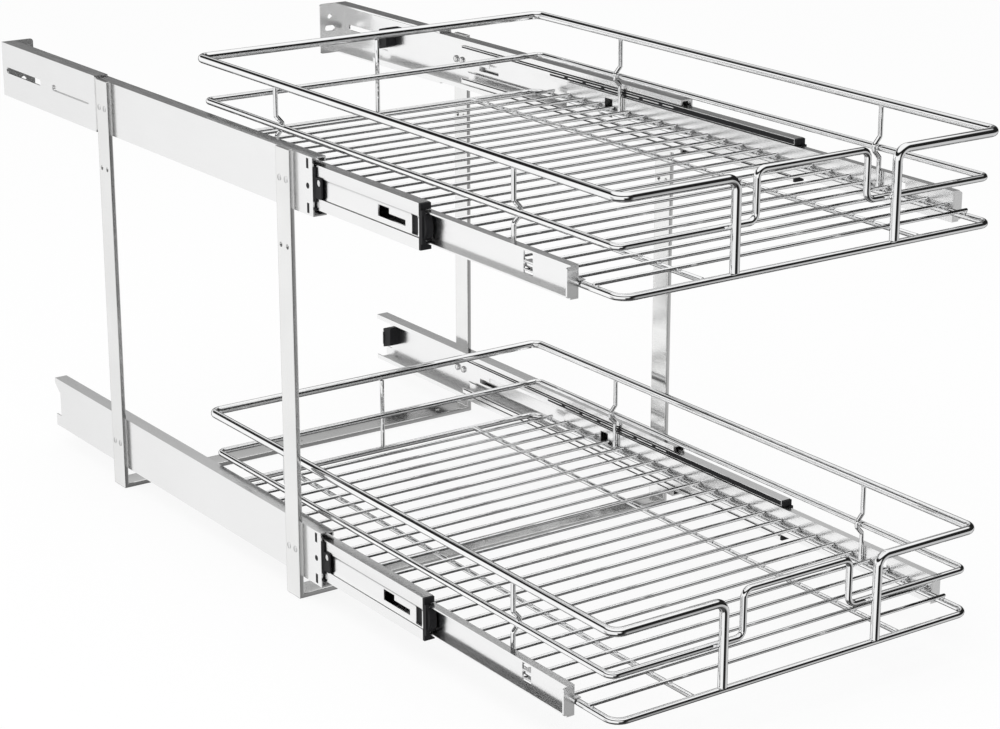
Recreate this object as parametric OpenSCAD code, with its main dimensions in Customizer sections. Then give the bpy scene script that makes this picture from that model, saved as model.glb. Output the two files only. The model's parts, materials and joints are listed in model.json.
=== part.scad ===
// Two-tier pull-out wire basket unit for a kitchen base cabinet.
// X is across the cabinet, -Y is the way the baskets pull out, Z is up.
// The origin is the middle of the floor screws, on the underside of the frame.
// The baskets are drawn part-way out: 300 mm from closed.

/* [Frame] */
// Width over the outside of the two frame straps
frame_w = 366; // [340:1:420]
// Height of the frame straps
frame_h = 360; // [352:1:420]
// Width of the flat bar the straps are bent from
strap_w = 20; // [16:1:30]
// Thickness of the flat bar
strap_t = 4; // [3:0.5:4]
// Distance between the centre lines of the two straps
strap_gap = 298; // [260:1:320]
// Height between the two tiers
tier_gap = 296; // [240:1:296]

/* [Runners] */
// Length of the cabinet rail of each runner
rail_len = 466; // [460:1:480]
// Height of the cabinet rail
rail_h = 45; // [45:0.5:46]
// Thickness of the rail steel
rail_t = 1.2; // [1:0.1:1.2]
// Diameter of the bearing balls
ball_d = 4.2; // [4:0.05:4.2]
// Number of balls along one race of an outer cage
outer_balls = 12; // [4:1:12]
// Number of balls along one race of an inner cage
inner_balls = 10; // [4:1:10]

/* [Baskets] */
// Width of the basket between the centres of its top wire
rim_w = 330; // [300:1:330]
// Diameter of the top wire
rim_d = 6.8; // [5:0.2:6.8]
// Diameter of the middle and bottom ring wires
ring_d = 5; // [4:0.2:5]
// Diameter of the uprights
upright_d = 3.6; // [3:0.2:3.6]
// Diameter of the long wires under the basket floor
support_d = 4; // [3:0.2:4.4]
// Diameter of the cross wires of the basket floor
floor_d = 2.8; // [2:0.2:3]
// Number of cross wires in the basket floor
floor_wires = 25; // [15:1:25]
// Height of the top wire above the bottom ring
rim_rise = 66; // [60:1:75]

/* [Brackets] */
// Thickness of the rear bracket steel
bracket_t = 1.5; // [1.2:0.1:1.5]
// Distance that the bracket stands out behind the cabinet rail
bracket_reach = 70; // [70:0.5:90]

/* [Hidden] */
$fn = 48;

eps = 0.01;
// how deep a welded wire sinks into its neighbour
weld = 0.1;
// height of the centre line of the lower and the upper runners
lower_z = 40.5;
upper_z = lower_z + tier_gap;

// ---- frame
strap_y = strap_gap / 2;
strap_bend_r = 6;
strap_cx = (frame_w - strap_t) / 2;
spare_hole_drop = 52;
hole_pair = 9.6;
rivet_r = 2;
screw_hole_r = 2.4;
screw_x = 151;
rivet_head_r = 3.2;
front_rivet_head = 0.6;
rear_rivet_head = 2.1;
rivet_tail_r = 2.6;
rivet_tail = 0.4;

// ---- cabinet rail: u is the depth inwards from the outer face of its web,
// v the height from its centre line
rail_x = frame_w / 2 - strap_t;
rail_front = -186;
rail_rear = rail_front + rail_len;
rail_bend_r = 1.5;
rail_lip_u = 11.7;
rail_lip_v = 18.3;
slot_v = 17;
slot_w = 3.3;
slot_h = 7.7;
rail_notch = 9.7;
rail_notch_v = [-11.8, 10.9];
rail_notch_slope = 8;
rail_notch_top = 17.6;
mouth_hole_y = rail_front + 7;
mouth_hole_r = 2.3;
// steel tab that stands across the back of the rail
stop_tab_u = 12.8;
stop_tab_y = [rail_rear - 12, rail_rear - 10.8];
stop_tab_v = [-4.6, 7.5];

// ---- middle rail
mid_front = -324.5;
mid_len = 454.5;
mid_rear = mid_front + mid_len;
mid_bend_r = 0.61;
mid_strip_u = 2.6;
mid_web_u = 3.9;
mid_lip_u = 11.9;
mid_v = 17;
mid_strip_v = 8.5;
mid_step_v = 5.7;
mid_lip_v = 12.3;
front_window = [19, 40.2, 54.8];
rear_window = [19, 34, 49];
window_v = [-3.9, 0.6, 4.7];
tongue_window = [2.8, 10.6];
tongue_window_v = 7.2;

// ---- basket rail
in_front = -497;
in_rear = -32;
in_bend_r = 0.8;
in_v = 11.5;
in_lip_u = 6.2;
in_web_u = 12.7;
flange_u = 3.6;
flange_t = 1.5;
clip_y = [-448, -96.2];
clip_len = 10.5;
clip_reach = 6.3;
clip_t = 1;
clip_window_v = [-8, 7.5];
hook_len = 3.5;

// ---- balls and their cages
cage_t = 0.4;
cage_bend_r = 0.4;
ball_gap = 0.05;
pocket_r = ball_d / 2 + ball_gap;
outer_v = (rail_h / 2 - rail_t + mid_v) / 2;
outer_ball_u = 5;
outer_cage_u = 1.95;
outer_cage_edge_u = 7.55;
outer_cage_y = [-136, 63];
inner_v = (mid_v - rail_t + in_v) / 2;
inner_ball_u = 8;
inner_cage_u = 5.3;
inner_cage_edge_u = 10.5;
inner_cage_y = [-266, -97];
cage_edge = 8;
cage_window_v = 7;

// ---- black plastic parts
guide_v = 8;
guide_len = 22;
guide_out = 12;
guide_corner_r = 2;
guide_hole_y = 6.3;
guide_hole_v = 4;
guide_hole_r = 2.7;
guide_hole_depth = 0.6;
pad_u = 2.6;
plate_u = 2.3;
plate_y = [rail_front - 2, rail_front + 13];
plate_v = [-17.6, 15.1];
plate_gap_v = [-15.6, -11.3];
peg_fit = 0.1;
peg_face_u = 0.3;
// rubber block in front of the stop tab: it hooks over the tab's two edges
bumper_u = 11.4;
bumper_y = [rail_rear - 23, rail_rear - 10];
bumper_front_v = [-4.3, 13.8];
bumper_back_v = [-8.4, 10.6];
bumper_fit = 0.1;
// stop on the front end of the middle rail
cap_fit = 0.1;
ear_len = 2;
ear_v = [12.1, 16.8];
ear_u = [2.8, 11.7];
ear_corner_r = 0.8;
plug_len = 10.5;
plug_u = [3.9, 10.6];
bar_len = 4;
bar_v = 12.2;
cap_u = 5.85;
nose_len = 14.8;
nose_v = 10.5;
nose_r = 14.5;
tongue_len = 13.5;
tongue_v = 7.4;

// ---- basket, measured from the centre of its bottom ring
ring_drop = 2.6;
rim_front = -538.5;
rim_rear = 9;
rim_x = rim_w / 2;
ring_x = rim_x - 2;
ring_rise = 32.4;
ring_front = rim_front + rim_d / 2 + ring_d / 2 - weld;
ring_rear = 2.7;
base_front = -538;
base_rear = 7;
dip_x = 70.6;
handle_x = 48.7;
handle_rise = 67.4;
rim_bend = 8;
ring_bend = 6;
base_bend = 10;
side_upright_y = [-421.5, -109];
upright_x = ring_x + 1.2;
rear_upright_y = ring_rear + ring_d / 2 + upright_d / 2 - weld;
kink_step = upright_x - ring_x + ring_d / 2 + upright_d / 2 - weld;
kink_half = 2;
kink_run = 6;
floor_front = -512;
floor_pitch = 20.7;
floor_half = 165.5;
support_x = 95;

// ---- rear bracket
bracket_play = 0.05;
bracket_v = rail_h / 2 + bracket_play + bracket_t;
bracket_bend_r = 1;
bracket_gap = 7;
bracket_front = strap_y + strap_w / 2 + bracket_gap;
bracket_rear = rail_rear + bracket_reach;
bracket_flange = 11.2;
tab_reach = 28.5;
tab_corner_r = 2.5;
tab_slot_r = 2.75;
tab_slot_len = 11;
tab_hole_r = 2.4;
tab_hole_gap = 11.4;
tab_hole_u = 17.5;
side_slot_r = 2.7;
side_slots = [[178, 249], [272, 342]];

steel = [0.78, 0.79, 0.8];
bright = [0.86, 0.87, 0.88];
dull = [0.62, 0.63, 0.64];
black = [0.08, 0.08, 0.09];

// ------------------------------------------------------------------ helpers

function unit(v) = v / norm(v);

// one rounded corner of a bent sheet: the arc at c, offset sideways by off
function corner_arc(a, c, b, r, off, n) =
    let (
        u = unit(a - c),
        w = unit(b - c),
        half = acos(u * w) / 2,
        side = sign(cross(c - a, b - c)),
        mid = c + unit(u + w) * r / sin(half),
        from = c + u * r / tan(half) - mid,
        start = atan2(from[1], from[0]),
        sweep = side * (180 - 2 * half)
    )
    [for (i = [0 : n])
        mid + (r - side * off) * [cos(start + sweep * i / n), sin(start + sweep * i / n)]];

function sideways(a, b, off) = unit([a[1] - b[1], b[0] - a[0]]) * off;

// one face of a bent sheet that follows a path of corner points
function sheet_side(path, r, off, n) =
    let (last = len(path) - 1)
    concat(
        [path[0] + sideways(path[0], path[1], off)],
        [for (i = [1 : 1 : last - 1])
            each corner_arc(path[i - 1], path[i], path[i + 1], r, off, n)],
        [path[last] + sideways(path[last - 1], path[last], off)]
    );

function reversed(list) = [for (i = [len(list) - 1 : -1 : 0]) list[i]];

// section of a bent sheet of thickness t
module sheet(path, t, r, n = 4) {
    polygon(concat(
        sheet_side(path, r, t / 2, n),
        reversed(sheet_side(path, r, -t / 2, n))
    ));
}

// turns a flat shape drawn in X and Z into a bar from y0 to y1
module along_y(y0, y1) {
    translate([0, y1, 0])
        rotate([90, 0, 0])
            linear_extrude(y1 - y0)
                children();
}

// a box given by its two corners
module block(low, high) {
    translate(low)
        cube(high - low);
}

// a box whose four edges along X are rounded
module rounded_block(low, high, r) {
    block([low[0], low[1] + r, low[2]], [high[0], high[1] - r, high[2]]);
    block([low[0], low[1], low[2] + r], [high[0], high[1], high[2] - r]);
    for (y = [low[1] + r, high[1] - r], z = [low[2] + r, high[2] - r])
        bar_x([low[0], y, z], high[0] - low[0], r);
}

// a flat shape given as points of Y and height, made solid from x0 to x1
module along_x(x0, x1, points) {
    translate([x0, 0, 0])
        rotate([90, 0, 90])
            linear_extrude(x1 - x0)
                polygon(points);
}

// a round bar along X, Y or Z that starts at p
module bar_x(p, len, r) {
    translate(p)
        rotate([0, 90, 0])
            cylinder(h = len, r = r);
}

module bar_y(p, len, r) {
    translate(p)
        rotate([-90, 0, 0])
            cylinder(h = len, r = r);
}

module bar_z(p, len, r) {
    translate(p)
        cylinder(h = len, r = r);
}

// a long hole that runs along Y, cut through in X
module slot_along_y(x, y0, y1, z, depth, r) {
    bar_x([x, y0 + r, z], depth, r);
    bar_x([x, y1 - r, z], depth, r);
    block([x, y0 + r, z - r], [x + depth, y1 - r, z + r]);
}

// the quarter bend of a wire at corner c, between the directions of a and b
module wire_bend(a, c, b, r, d) {
    u = unit(a - c);
    w = unit(b - c);
    mid = c + (u + w) * r;
    axis = cross(w, u);
    multmatrix([
        [-w[0], -u[0], axis[0], mid[0]],
        [-w[1], -u[1], axis[1], mid[1]],
        [-w[2], -u[2], axis[2], mid[2]],
        [0, 0, 0, 1]
    ])
        rotate_extrude(angle = 90)
            translate([r, 0])
                circle(d = d, $fn = 32);
}

// a straight wire along one axis
module wire_run(a, b, d) {
    low = [min(a[0], b[0]), min(a[1], b[1]), min(a[2], b[2])];
    len = norm(b - a);
    if (a[0] != b[0])
        bar_x(low, len, d / 2);
    else if (a[1] != b[1])
        bar_y(low, len, d / 2);
    else
        bar_z(low, len, d / 2);
}

// a wire through square corners p, bent with radius r
module bent_wire(p, r, d, closed = true) {
    n = len(p);
    for (i = [0 : closed ? n - 1 : n - 2]) {
        a = p[i];
        b = p[(i + 1) % n];
        dir = unit(b - a);
        start = closed || i > 0 ? r : 0;
        stop = closed || i < n - 2 ? r : 0;
        wire_run(a + dir * start, b - dir * stop, d);
    }
    for (i = [closed ? 0 : 1 : closed ? n - 1 : n - 2])
        wire_bend(p[(i + n - 1) % n], p[i], p[(i + 1) % n], r, d);
}

// side = 1 draws the right-hand part, side = -1 its mirror image on the left
module on_side(side) {
    mirror([side < 0 ? 1 : 0, 0, 0])
        children();
}

// runner section points: depth u and height v to X and Z
function at(u, v) = [rail_x - u, v];

// -------------------------------------------------------------------- frame

module strap(y) {
    foot = strap_t / 2;
    difference() {
        along_y(y - strap_w / 2, y + strap_w / 2)
            sheet([[-strap_cx, frame_h], [-strap_cx, foot], [strap_cx, foot], [strap_cx, frame_h]],
                strap_t, strap_bend_r, 6);
        for (z = [lower_z, upper_z, upper_z - spare_hole_drop])
            for (dy = [-hole_pair / 2, hole_pair / 2])
                bar_x([-frame_w, y + dy, z], 2 * frame_w, rivet_r);
        for (x = [-screw_x, 0, screw_x])
            bar_z([x, y, -1], strap_t + 2, screw_hole_r);
    }
}

module front_strap() {
    color(steel)
        strap(-strap_y);
}

module rear_strap() {
    color(steel)
        strap(strap_y);
}

// two rivets at each rail: a head inside the rail and a low tail outside the strap
module strap_rivets(y, head) {
    shank = rail_t + strap_t;
    for (side = [-1, 1], z = [lower_z, upper_z], dy = [-hole_pair / 2, hole_pair / 2])
        on_side(side)
            union() {
                bar_x([rail_x - rail_t - head, y + dy, z], head + shank + rivet_tail, rivet_r - eps);
                bar_x([rail_x - rail_t - head, y + dy, z], head, rivet_head_r);
                bar_x([rail_x + strap_t, y + dy, z], rivet_tail, rivet_tail_r);
            }
}

module front_strap_rivets() {
    color(dull)
        strap_rivets(-strap_y, front_rivet_head);
}

module rear_strap_rivets() {
    color(dull)
        strap_rivets(strap_y, rear_rivet_head);
}

// sleeve round the back of the cabinet rail, with a tab for the cabinet's back
module rear_bracket(side) {
    on_side(side)
        difference() {
            union() {
                translate([0, 0, upper_z])
                    along_y(bracket_front, bracket_rear)
                        sheet([
                            at(bracket_flange, bracket_v - bracket_t / 2),
                            at(-bracket_t / 2, bracket_v - bracket_t / 2),
                            at(-bracket_t / 2, -bracket_v + bracket_t / 2),
                            at(bracket_flange, -bracket_v + bracket_t / 2)
                        ], bracket_t, bracket_bend_r, 3);
                block([rail_x - tab_reach + tab_corner_r, bracket_rear - bracket_t, upper_z - bracket_v],
                    [rail_x + bracket_t, bracket_rear, upper_z + bracket_v]);
                block([rail_x - tab_reach, bracket_rear - bracket_t, upper_z - bracket_v + tab_corner_r],
                    [rail_x, bracket_rear, upper_z + bracket_v - tab_corner_r]);
                for (dz = [tab_corner_r - bracket_v, bracket_v - tab_corner_r])
                    bar_y([rail_x - tab_reach + tab_corner_r, bracket_rear - bracket_t, upper_z + dz],
                        bracket_t, tab_corner_r);
            }
            for (s = side_slots)
                slot_along_y(rail_x - bracket_t, s[0], s[1], upper_z, 3 * bracket_t, side_slot_r);
            tab_x = rail_x - tab_hole_u;
            tab_half = tab_slot_len / 2 - tab_slot_r;
            y0 = bracket_rear - 2 * bracket_t;
            y1 = bracket_rear + bracket_t;
            for (dx = [-tab_half, tab_half])
                bar_y([tab_x + dx, y0, upper_z], y1 - y0, tab_slot_r);
            block([tab_x - tab_half, y0, upper_z - tab_slot_r],
                [tab_x + tab_half, y1, upper_z + tab_slot_r]);
            for (dz = [-tab_hole_gap, tab_hole_gap])
                bar_y([tab_x, y0, upper_z + dz], y1 - y0, tab_hole_r);
        }
}

module left_rear_bracket() {
    color(steel)
        rear_bracket(-1);
}

module right_rear_bracket() {
    color(steel)
        rear_bracket(1);
}

// ------------------------------------------------------------------ runners

// fixed outer channel with the race lips turned in
module cabinet_rail(side, z) {
    half = rail_t / 2;
    top = rail_h / 2 - half;
    path = [
        at(rail_lip_u - half, rail_lip_v),
        at(rail_lip_u - half, top),
        at(half, top),
        at(half, -top),
        at(rail_lip_u - half, -top),
        at(rail_lip_u - half, -rail_lip_v)
    ];
    x0 = rail_x - 2 * rail_t;
    x1 = rail_x + rail_t;
    notch_y = rail_rear - rail_notch;
    color(steel)
        translate([0, 0, z])
            on_side(side)
                difference() {
                    union() {
                        along_y(rail_front, rail_rear)
                            sheet(path, rail_t, rail_bend_r);
                        block([rail_x - stop_tab_u, stop_tab_y[0], stop_tab_v[0]],
                            [rail_x - rail_t / 2, stop_tab_y[1], stop_tab_v[1]]);
                    }
                    for (y = [-strap_y, strap_y], dy = [-hole_pair / 2, hole_pair / 2])
                        bar_x([x0, y + dy, 0], x1 - x0, rivet_r);
                    bar_x([x0, mouth_hole_y, 0], x1 - x0, mouth_hole_r);
                    for (v = [-slot_v, slot_v])
                        block([x0, mouth_hole_y - slot_w / 2, v - slot_h / 2],
                            [x1, mouth_hole_y + slot_w / 2, v + slot_h / 2]);
                    along_x(x0, x1, [
                        [notch_y, rail_notch_v[0]],
                        [rail_rear + 1, rail_notch_v[0]],
                        [rail_rear + 1, rail_notch_top],
                        [rail_rear, rail_notch_top],
                        [rail_rear - rail_notch_slope, rail_notch_v[1]],
                        [notch_y, rail_notch_v[1]]
                    ]);
                }
}

// middle channel: outer race on its back, inner race under its lips; its web is
// sunk between two slanted steps
module middle_rail(side, z) {
    half = rail_t / 2;
    top = mid_v - half;
    path = [
        at(mid_lip_u - half, mid_lip_v),
        at(mid_lip_u - half, top),
        at(mid_strip_u + half, top),
        at(mid_strip_u + half, mid_strip_v),
        at(mid_web_u + half, mid_step_v),
        at(mid_web_u + half, -mid_step_v),
        at(mid_strip_u + half, -mid_strip_v),
        at(mid_strip_u + half, -top),
        at(mid_lip_u - half, -top),
        at(mid_lip_u - half, -mid_lip_v)
    ];
    color(steel)
        translate([0, 0, z])
            on_side(side)
                difference() {
                    along_y(mid_front, mid_rear)
                        sheet(path, rail_t, mid_bend_r);
                    middle_window(mid_front, 1, front_window);
                    middle_window(mid_rear, -1, rear_window);
                    block([rail_x - mid_web_u - 2 * rail_t, mid_front + tongue_window[0], -tongue_window_v],
                        [rail_x, mid_front + tongue_window[1], tongue_window_v]);
                }
}

// stepped window in the web; w holds its three edges, counted from the rail's end
module middle_window(end, way, w) {
    y = [for (e = w) end + way * e];
    x0 = rail_x - mid_web_u - 2 * rail_t;
    x1 = rail_x - mid_web_u + rail_t;
    block([x0, min(y[0], y[2]), window_v[0]], [x1, max(y[0], y[2]), window_v[1]]);
    block([x0, min(y[1], y[2]), window_v[0]], [x1, max(y[1], y[2]), window_v[2]]);
}

// inner channel that carries the basket: end flange, clips round the bottom ring
module basket_rail(side, z) {
    half = rail_t / 2;
    top = in_v - half;
    web = rail_x - in_web_u;
    ring_top = -ring_drop + ring_d / 2 - weld / 2;
    ring_low = -ring_drop - ring_d / 2 + weld / 2;
    path = [
        at(in_lip_u, top),
        at(in_web_u - half, top),
        at(in_web_u - half, -top),
        at(in_lip_u, -top)
    ];
    color(steel)
        translate([0, 0, z])
            on_side(side) {
                difference() {
                    along_y(in_front, in_rear)
                        sheet(path, rail_t, in_bend_r);
                    for (y = clip_y)
                        block([web - rail_t, y, clip_window_v[0]],
                            [web + 2 * rail_t, y + clip_len, clip_window_v[1]]);
                }
                block([web + rail_t, in_front, -in_v + rail_t + eps],
                    [rail_x - flange_u, in_front + flange_t, in_v - rail_t - eps]);
                for (y = clip_y) {
                    block([web - clip_reach, y, ring_top],
                        [web + rail_t, y + clip_len, ring_top + clip_t]);
                    block([web - clip_reach, y, ring_low - clip_t],
                        [web + rail_t, y + clip_len, ring_low]);
                }
                block([web - clip_reach, in_front, ring_top],
                    [web + eps, in_front + hook_len, ring_top + clip_t]);
            }
}

// strip that spaces the balls, folded over both races
module ball_cage(side, z, u, edge_u, ball_u, v, span, count) {
    half = cage_t / 2;
    step = (span[1] - span[0] - 2 * cage_edge) / (count - 1);
    translate([0, 0, z])
        on_side(side)
            difference() {
                along_y(span[0], span[1])
                    sheet([at(edge_u, v), at(u + half, v), at(u + half, -v), at(edge_u, -v)],
                        cage_t, cage_bend_r, 3);
                for (i = [0 : count - 1])
                    bar_z([rail_x - ball_u, span[0] + cage_edge + i * step, -v - 1],
                        2 * v + 2, pocket_r);
                block([rail_x - u - 2 * cage_t, span[0] + cage_edge, -cage_window_v],
                    [rail_x - u + cage_t, span[1] - cage_edge, cage_window_v]);
            }
}

// the balls of both runners of a tier, above and below the rails
module balls(z, ball_u, v, span, count) {
    step = (span[1] - span[0] - 2 * cage_edge) / (count - 1);
    for (side = [-1, 1], end = [-1, 1], i = [0 : count - 1])
        translate([side * (rail_x - ball_u), span[0] + cage_edge + i * step, z + end * v])
            sphere(d = ball_d - 2 * ball_gap, $fn = 20);
}

module outer_cage(side, z) {
    color(dull)
        ball_cage(side, z, outer_cage_u, outer_cage_edge_u, outer_ball_u, outer_v,
            outer_cage_y, outer_balls);
}

module inner_cage(side, z) {
    color(dull)
        ball_cage(side, z, inner_cage_u, inner_cage_edge_u, inner_ball_u, inner_v,
            inner_cage_y, inner_balls);
}

module outer_race_balls(z) {
    color(bright)
        balls(z, outer_ball_u, outer_v, outer_cage_y, outer_balls);
}

module inner_race_balls(z) {
    color(bright)
        balls(z, inner_ball_u, inner_v, inner_cage_y, inner_balls);
}

// plastic guide in the mouth of a cabinet rail: a pad in front of it, a plate behind
// its web, and pegs that fill the hole and the two slots
module mouth_guide(side, z) {
    front = rail_front - guide_out;
    web = rail_x - rail_t;
    plate_x = rail_x - plate_u;
    peg_x = rail_x - peg_face_u;
    peg_w = slot_w / 2 - peg_fit;
    peg_h = slot_h / 2 - peg_fit;
    translate([0, 0, z])
        on_side(side)
            difference() {
                union() {
                    rounded_block([rail_x - pad_u, front, -guide_v],
                        [web, front + guide_len, guide_v], guide_corner_r);
                    block([plate_x, rail_front, plate_v[0]], [web, plate_y[1], plate_v[1]]);
                    block([plate_x, plate_y[0], plate_gap_v[1]], [web, rail_front, plate_v[1]]);
                    block([plate_x, plate_y[0], plate_v[0]], [web, rail_front, plate_gap_v[0]]);
                    bar_x([plate_x, mouth_hole_y, 0], peg_x - plate_x, mouth_hole_r - peg_fit);
                    for (v = [-slot_v, slot_v])
                        block([plate_x, mouth_hole_y - peg_w, v - peg_h],
                            [peg_x, mouth_hole_y + peg_w, v + peg_h]);
                }
                bar_x([web - guide_hole_depth, front + guide_hole_y, guide_hole_v], rail_t, guide_hole_r);
            }
}

// rubber block that stops the middle rail, held by the steel tab behind it
module rear_bumper(side, z) {
    slot_low = stop_tab_v[0] - bumper_fit;
    slot_high = stop_tab_v[1] + bumper_fit;
    slot_y = stop_tab_y[0] - bumper_fit;
    translate([0, 0, z])
        on_side(side)
            along_x(rail_x - bumper_u, rail_x - rail_t, [
                [bumper_y[0], bumper_front_v[0]],
                [bumper_y[1], bumper_back_v[0]],
                [bumper_y[1], slot_low],
                [slot_y, slot_low],
                [slot_y, slot_high],
                [bumper_y[1], slot_high],
                [bumper_y[1], bumper_back_v[1]],
                [bumper_y[0], bumper_front_v[1]]
            ]);
}

module rail_mouth_guides() {
    color(black)
        for (side = [-1, 1], z = [lower_z, upper_z])
            mouth_guide(side, z);
}

module rail_rear_bumpers() {
    color(black)
        for (side = [-1, 1], z = [lower_z, upper_z])
            rear_bumper(side, z);
}

// plastic stop on the front end of a middle rail: two eared plugs in the channel, a
// bar that joins them, a nose in front and a tongue behind the web
module middle_rail_cap(side, z) {
    inner = rail_x - cap_u;
    recess = rail_x - mid_web_u;
    bar_front = mid_front - bar_len;
    nose_front = bar_front - nose_len;
    translate([0, 0, z])
        on_side(side)
            union() {
                cap_plug(1);
                cap_plug(-1);
                block([inner, bar_front, -bar_v], [rail_x - ear_u[0], mid_front, bar_v]);
                intersection() {
                    block([inner, nose_front, -nose_v], [recess, bar_front + 1, nose_v]);
                    bar_x([inner - 1, nose_front + nose_r, 0], cap_u, nose_r);
                }
                rounded_block([inner, mid_front - 1, -tongue_v],
                    [recess - rail_t - cap_fit, mid_front + tongue_len, tongue_v], ear_corner_r);
            }
}

// plug in the corner of the channel, above or below the way of the basket rail
module cap_plug(way) {
    mirror([0, 0, way < 0 ? 1 : 0]) {
        rounded_block([rail_x - ear_u[1], mid_front - ear_len, ear_v[0]],
            [rail_x - ear_u[0], mid_front, ear_v[1]], ear_corner_r);
        block([rail_x - plug_u[1], mid_front - 1, ear_v[0]],
            [rail_x - plug_u[0], mid_front + plug_len, mid_v - rail_t - cap_fit]);
    }
}

module middle_rail_caps(z) {
    color(black)
        for (side = [-1, 1])
            middle_rail_cap(side, z);
}

// ------------------------------------------------------------------ baskets

function base_z(tier_z) = tier_z - ring_drop;

// top wire: round the sides and back, with both ends dipping at the front
module basket_rim(tier_z) {
    top = base_z(tier_z) + rim_rise;
    foot = base_z(tier_z) + ring_d / 2 - weld;
    color(bright)
        bent_wire([
            [-dip_x, rim_front, foot],
            [-dip_x, rim_front, top],
            [-rim_x, rim_front, top],
            [-rim_x, rim_rear, top],
            [rim_x, rim_rear, top],
            [rim_x, rim_front, top],
            [dip_x, rim_front, top],
            [dip_x, rim_front, foot]
        ], rim_bend, rim_d, false);
}

// middle wire: its front rises between the dips to make the handle
module basket_middle_ring(tier_z) {
    z = base_z(tier_z) + ring_rise;
    handle_z = base_z(tier_z) + handle_rise;
    color(bright)
        bent_wire([
            [-ring_x, ring_front, z],
            [-ring_x, ring_rear, z],
            [ring_x, ring_rear, z],
            [ring_x, ring_front, z],
            [handle_x, ring_front, z],
            [handle_x, ring_front, handle_z],
            [-handle_x, ring_front, handle_z],
            [-handle_x, ring_front, z]
        ], ring_bend, ring_d);
}

module basket_bottom_ring(tier_z) {
    z = base_z(tier_z);
    color(bright)
        bent_wire([
            [-ring_x, base_front, z],
            [-ring_x, base_rear, z],
            [ring_x, base_rear, z],
            [ring_x, base_front, z]
        ], base_bend, ring_d);
}

// a straight piece of an upright between two points, with ball ends that close the bends
module upright_piece(a, b) {
    v = b - a;
    translate(a)
        rotate([0, acos(v[2] / norm(v)), atan2(v[1], v[0])])
            cylinder(h = norm(v), d = upright_d, $fn = 32);
}

// side upright: steps inwards round the middle ring
module side_upright(side, y, tier_z) {
    foot = ring_d / 2 - weld;
    mid = ring_rise - foot;
    run = kink_half + kink_run;
    p = [
        [0, 0, 0],
        [0, 0, mid - run],
        [-kink_step, 0, mid - kink_half],
        [-kink_step, 0, mid + kink_half],
        [0, 0, mid + run],
        [0, 0, rim_rise - rim_d / 2 + weld - foot]
    ];
    on_side(side)
        translate([upright_x, y, base_z(tier_z) + foot])
            union() {
                for (i = [0 : 4])
                    upright_piece(p[i], p[i + 1]);
                for (i = [1 : 4])
                    translate(p[i])
                        sphere(d = upright_d + 0.04, $fn = 32);
            }
}

module basket_uprights(tier_z) {
    base = base_z(tier_z);
    color(bright) {
        for (side = [-1, 1], y = side_upright_y)
            side_upright(side, y, tier_z);
        bar_z([0, rear_upright_y, base + ring_d / 2 - weld],
            rim_rise - rim_d / 2 - ring_d / 2 + 2 * weld, upright_d / 2);
    }
}

// the long wires under the floor, from the front to the back of the bottom ring
module basket_supports(tier_z) {
    z = base_z(tier_z) + ring_d / 2 - support_d / 2;
    start = base_front + ring_d / 2 - weld;
    len = base_rear - ring_d / 2 + weld - start;
    color(bright)
        for (x = [-support_x, support_x])
            bar_y([x, start, z], len, support_d / 2);
}

module basket_floor(tier_z) {
    z = base_z(tier_z) + ring_d / 2 + floor_d / 2 - weld / 2;
    color(bright)
        for (i = [0 : floor_wires - 1])
            bar_x([-floor_half, floor_front + i * floor_pitch, z], 2 * floor_half, floor_d / 2);
}

// -------------------------------------------------------------------- nodes

front_strap();
rear_strap();
front_strap_rivets();
rear_strap_rivets();
left_rear_bracket();
right_rear_bracket();
cabinet_rail(-1, upper_z);  // upper_left_cabinet_rail
cabinet_rail(1, upper_z);  // upper_right_cabinet_rail
cabinet_rail(-1, lower_z);  // lower_left_cabinet_rail
cabinet_rail(1, lower_z);  // lower_right_cabinet_rail
rail_mouth_guides();
rail_rear_bumpers();
middle_rail(-1, upper_z);  // upper_left_middle_rail
middle_rail(1, upper_z);  // upper_right_middle_rail
middle_rail_caps(upper_z);  // upper_middle_rail_caps
middle_rail(-1, lower_z);  // lower_left_middle_rail
middle_rail(1, lower_z);  // lower_right_middle_rail
middle_rail_caps(lower_z);  // lower_middle_rail_caps
outer_cage(-1, upper_z);  // upper_left_outer_cage
outer_cage(1, upper_z);  // upper_right_outer_cage
outer_race_balls(upper_z);  // upper_outer_balls
outer_cage(-1, lower_z);  // lower_left_outer_cage
outer_cage(1, lower_z);  // lower_right_outer_cage
outer_race_balls(lower_z);  // lower_outer_balls
inner_cage(-1, upper_z);  // upper_left_inner_cage
inner_cage(1, upper_z);  // upper_right_inner_cage
inner_race_balls(upper_z);  // upper_inner_balls
inner_cage(-1, lower_z);  // lower_left_inner_cage
inner_cage(1, lower_z);  // lower_right_inner_cage
inner_race_balls(lower_z);  // lower_inner_balls
basket_rail(-1, upper_z);  // upper_left_basket_rail
basket_rail(1, upper_z);  // upper_right_basket_rail
basket_rail(-1, lower_z);  // lower_left_basket_rail
basket_rail(1, lower_z);  // lower_right_basket_rail
basket_rim(upper_z);  // upper_basket_rim
basket_middle_ring(upper_z);  // upper_basket_middle_ring
basket_bottom_ring(upper_z);  // upper_basket_bottom_ring
basket_uprights(upper_z);  // upper_basket_uprights
basket_supports(upper_z);  // upper_basket_supports
basket_floor(upper_z);  // upper_basket_floor
basket_rim(lower_z);  // lower_basket_rim
basket_middle_ring(lower_z);  // lower_basket_middle_ring
basket_bottom_ring(lower_z);  // lower_basket_bottom_ring
basket_uprights(lower_z);  // lower_basket_uprights
basket_supports(lower_z);  // lower_basket_supports
basket_floor(lower_z);  // lower_basket_floor
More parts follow.
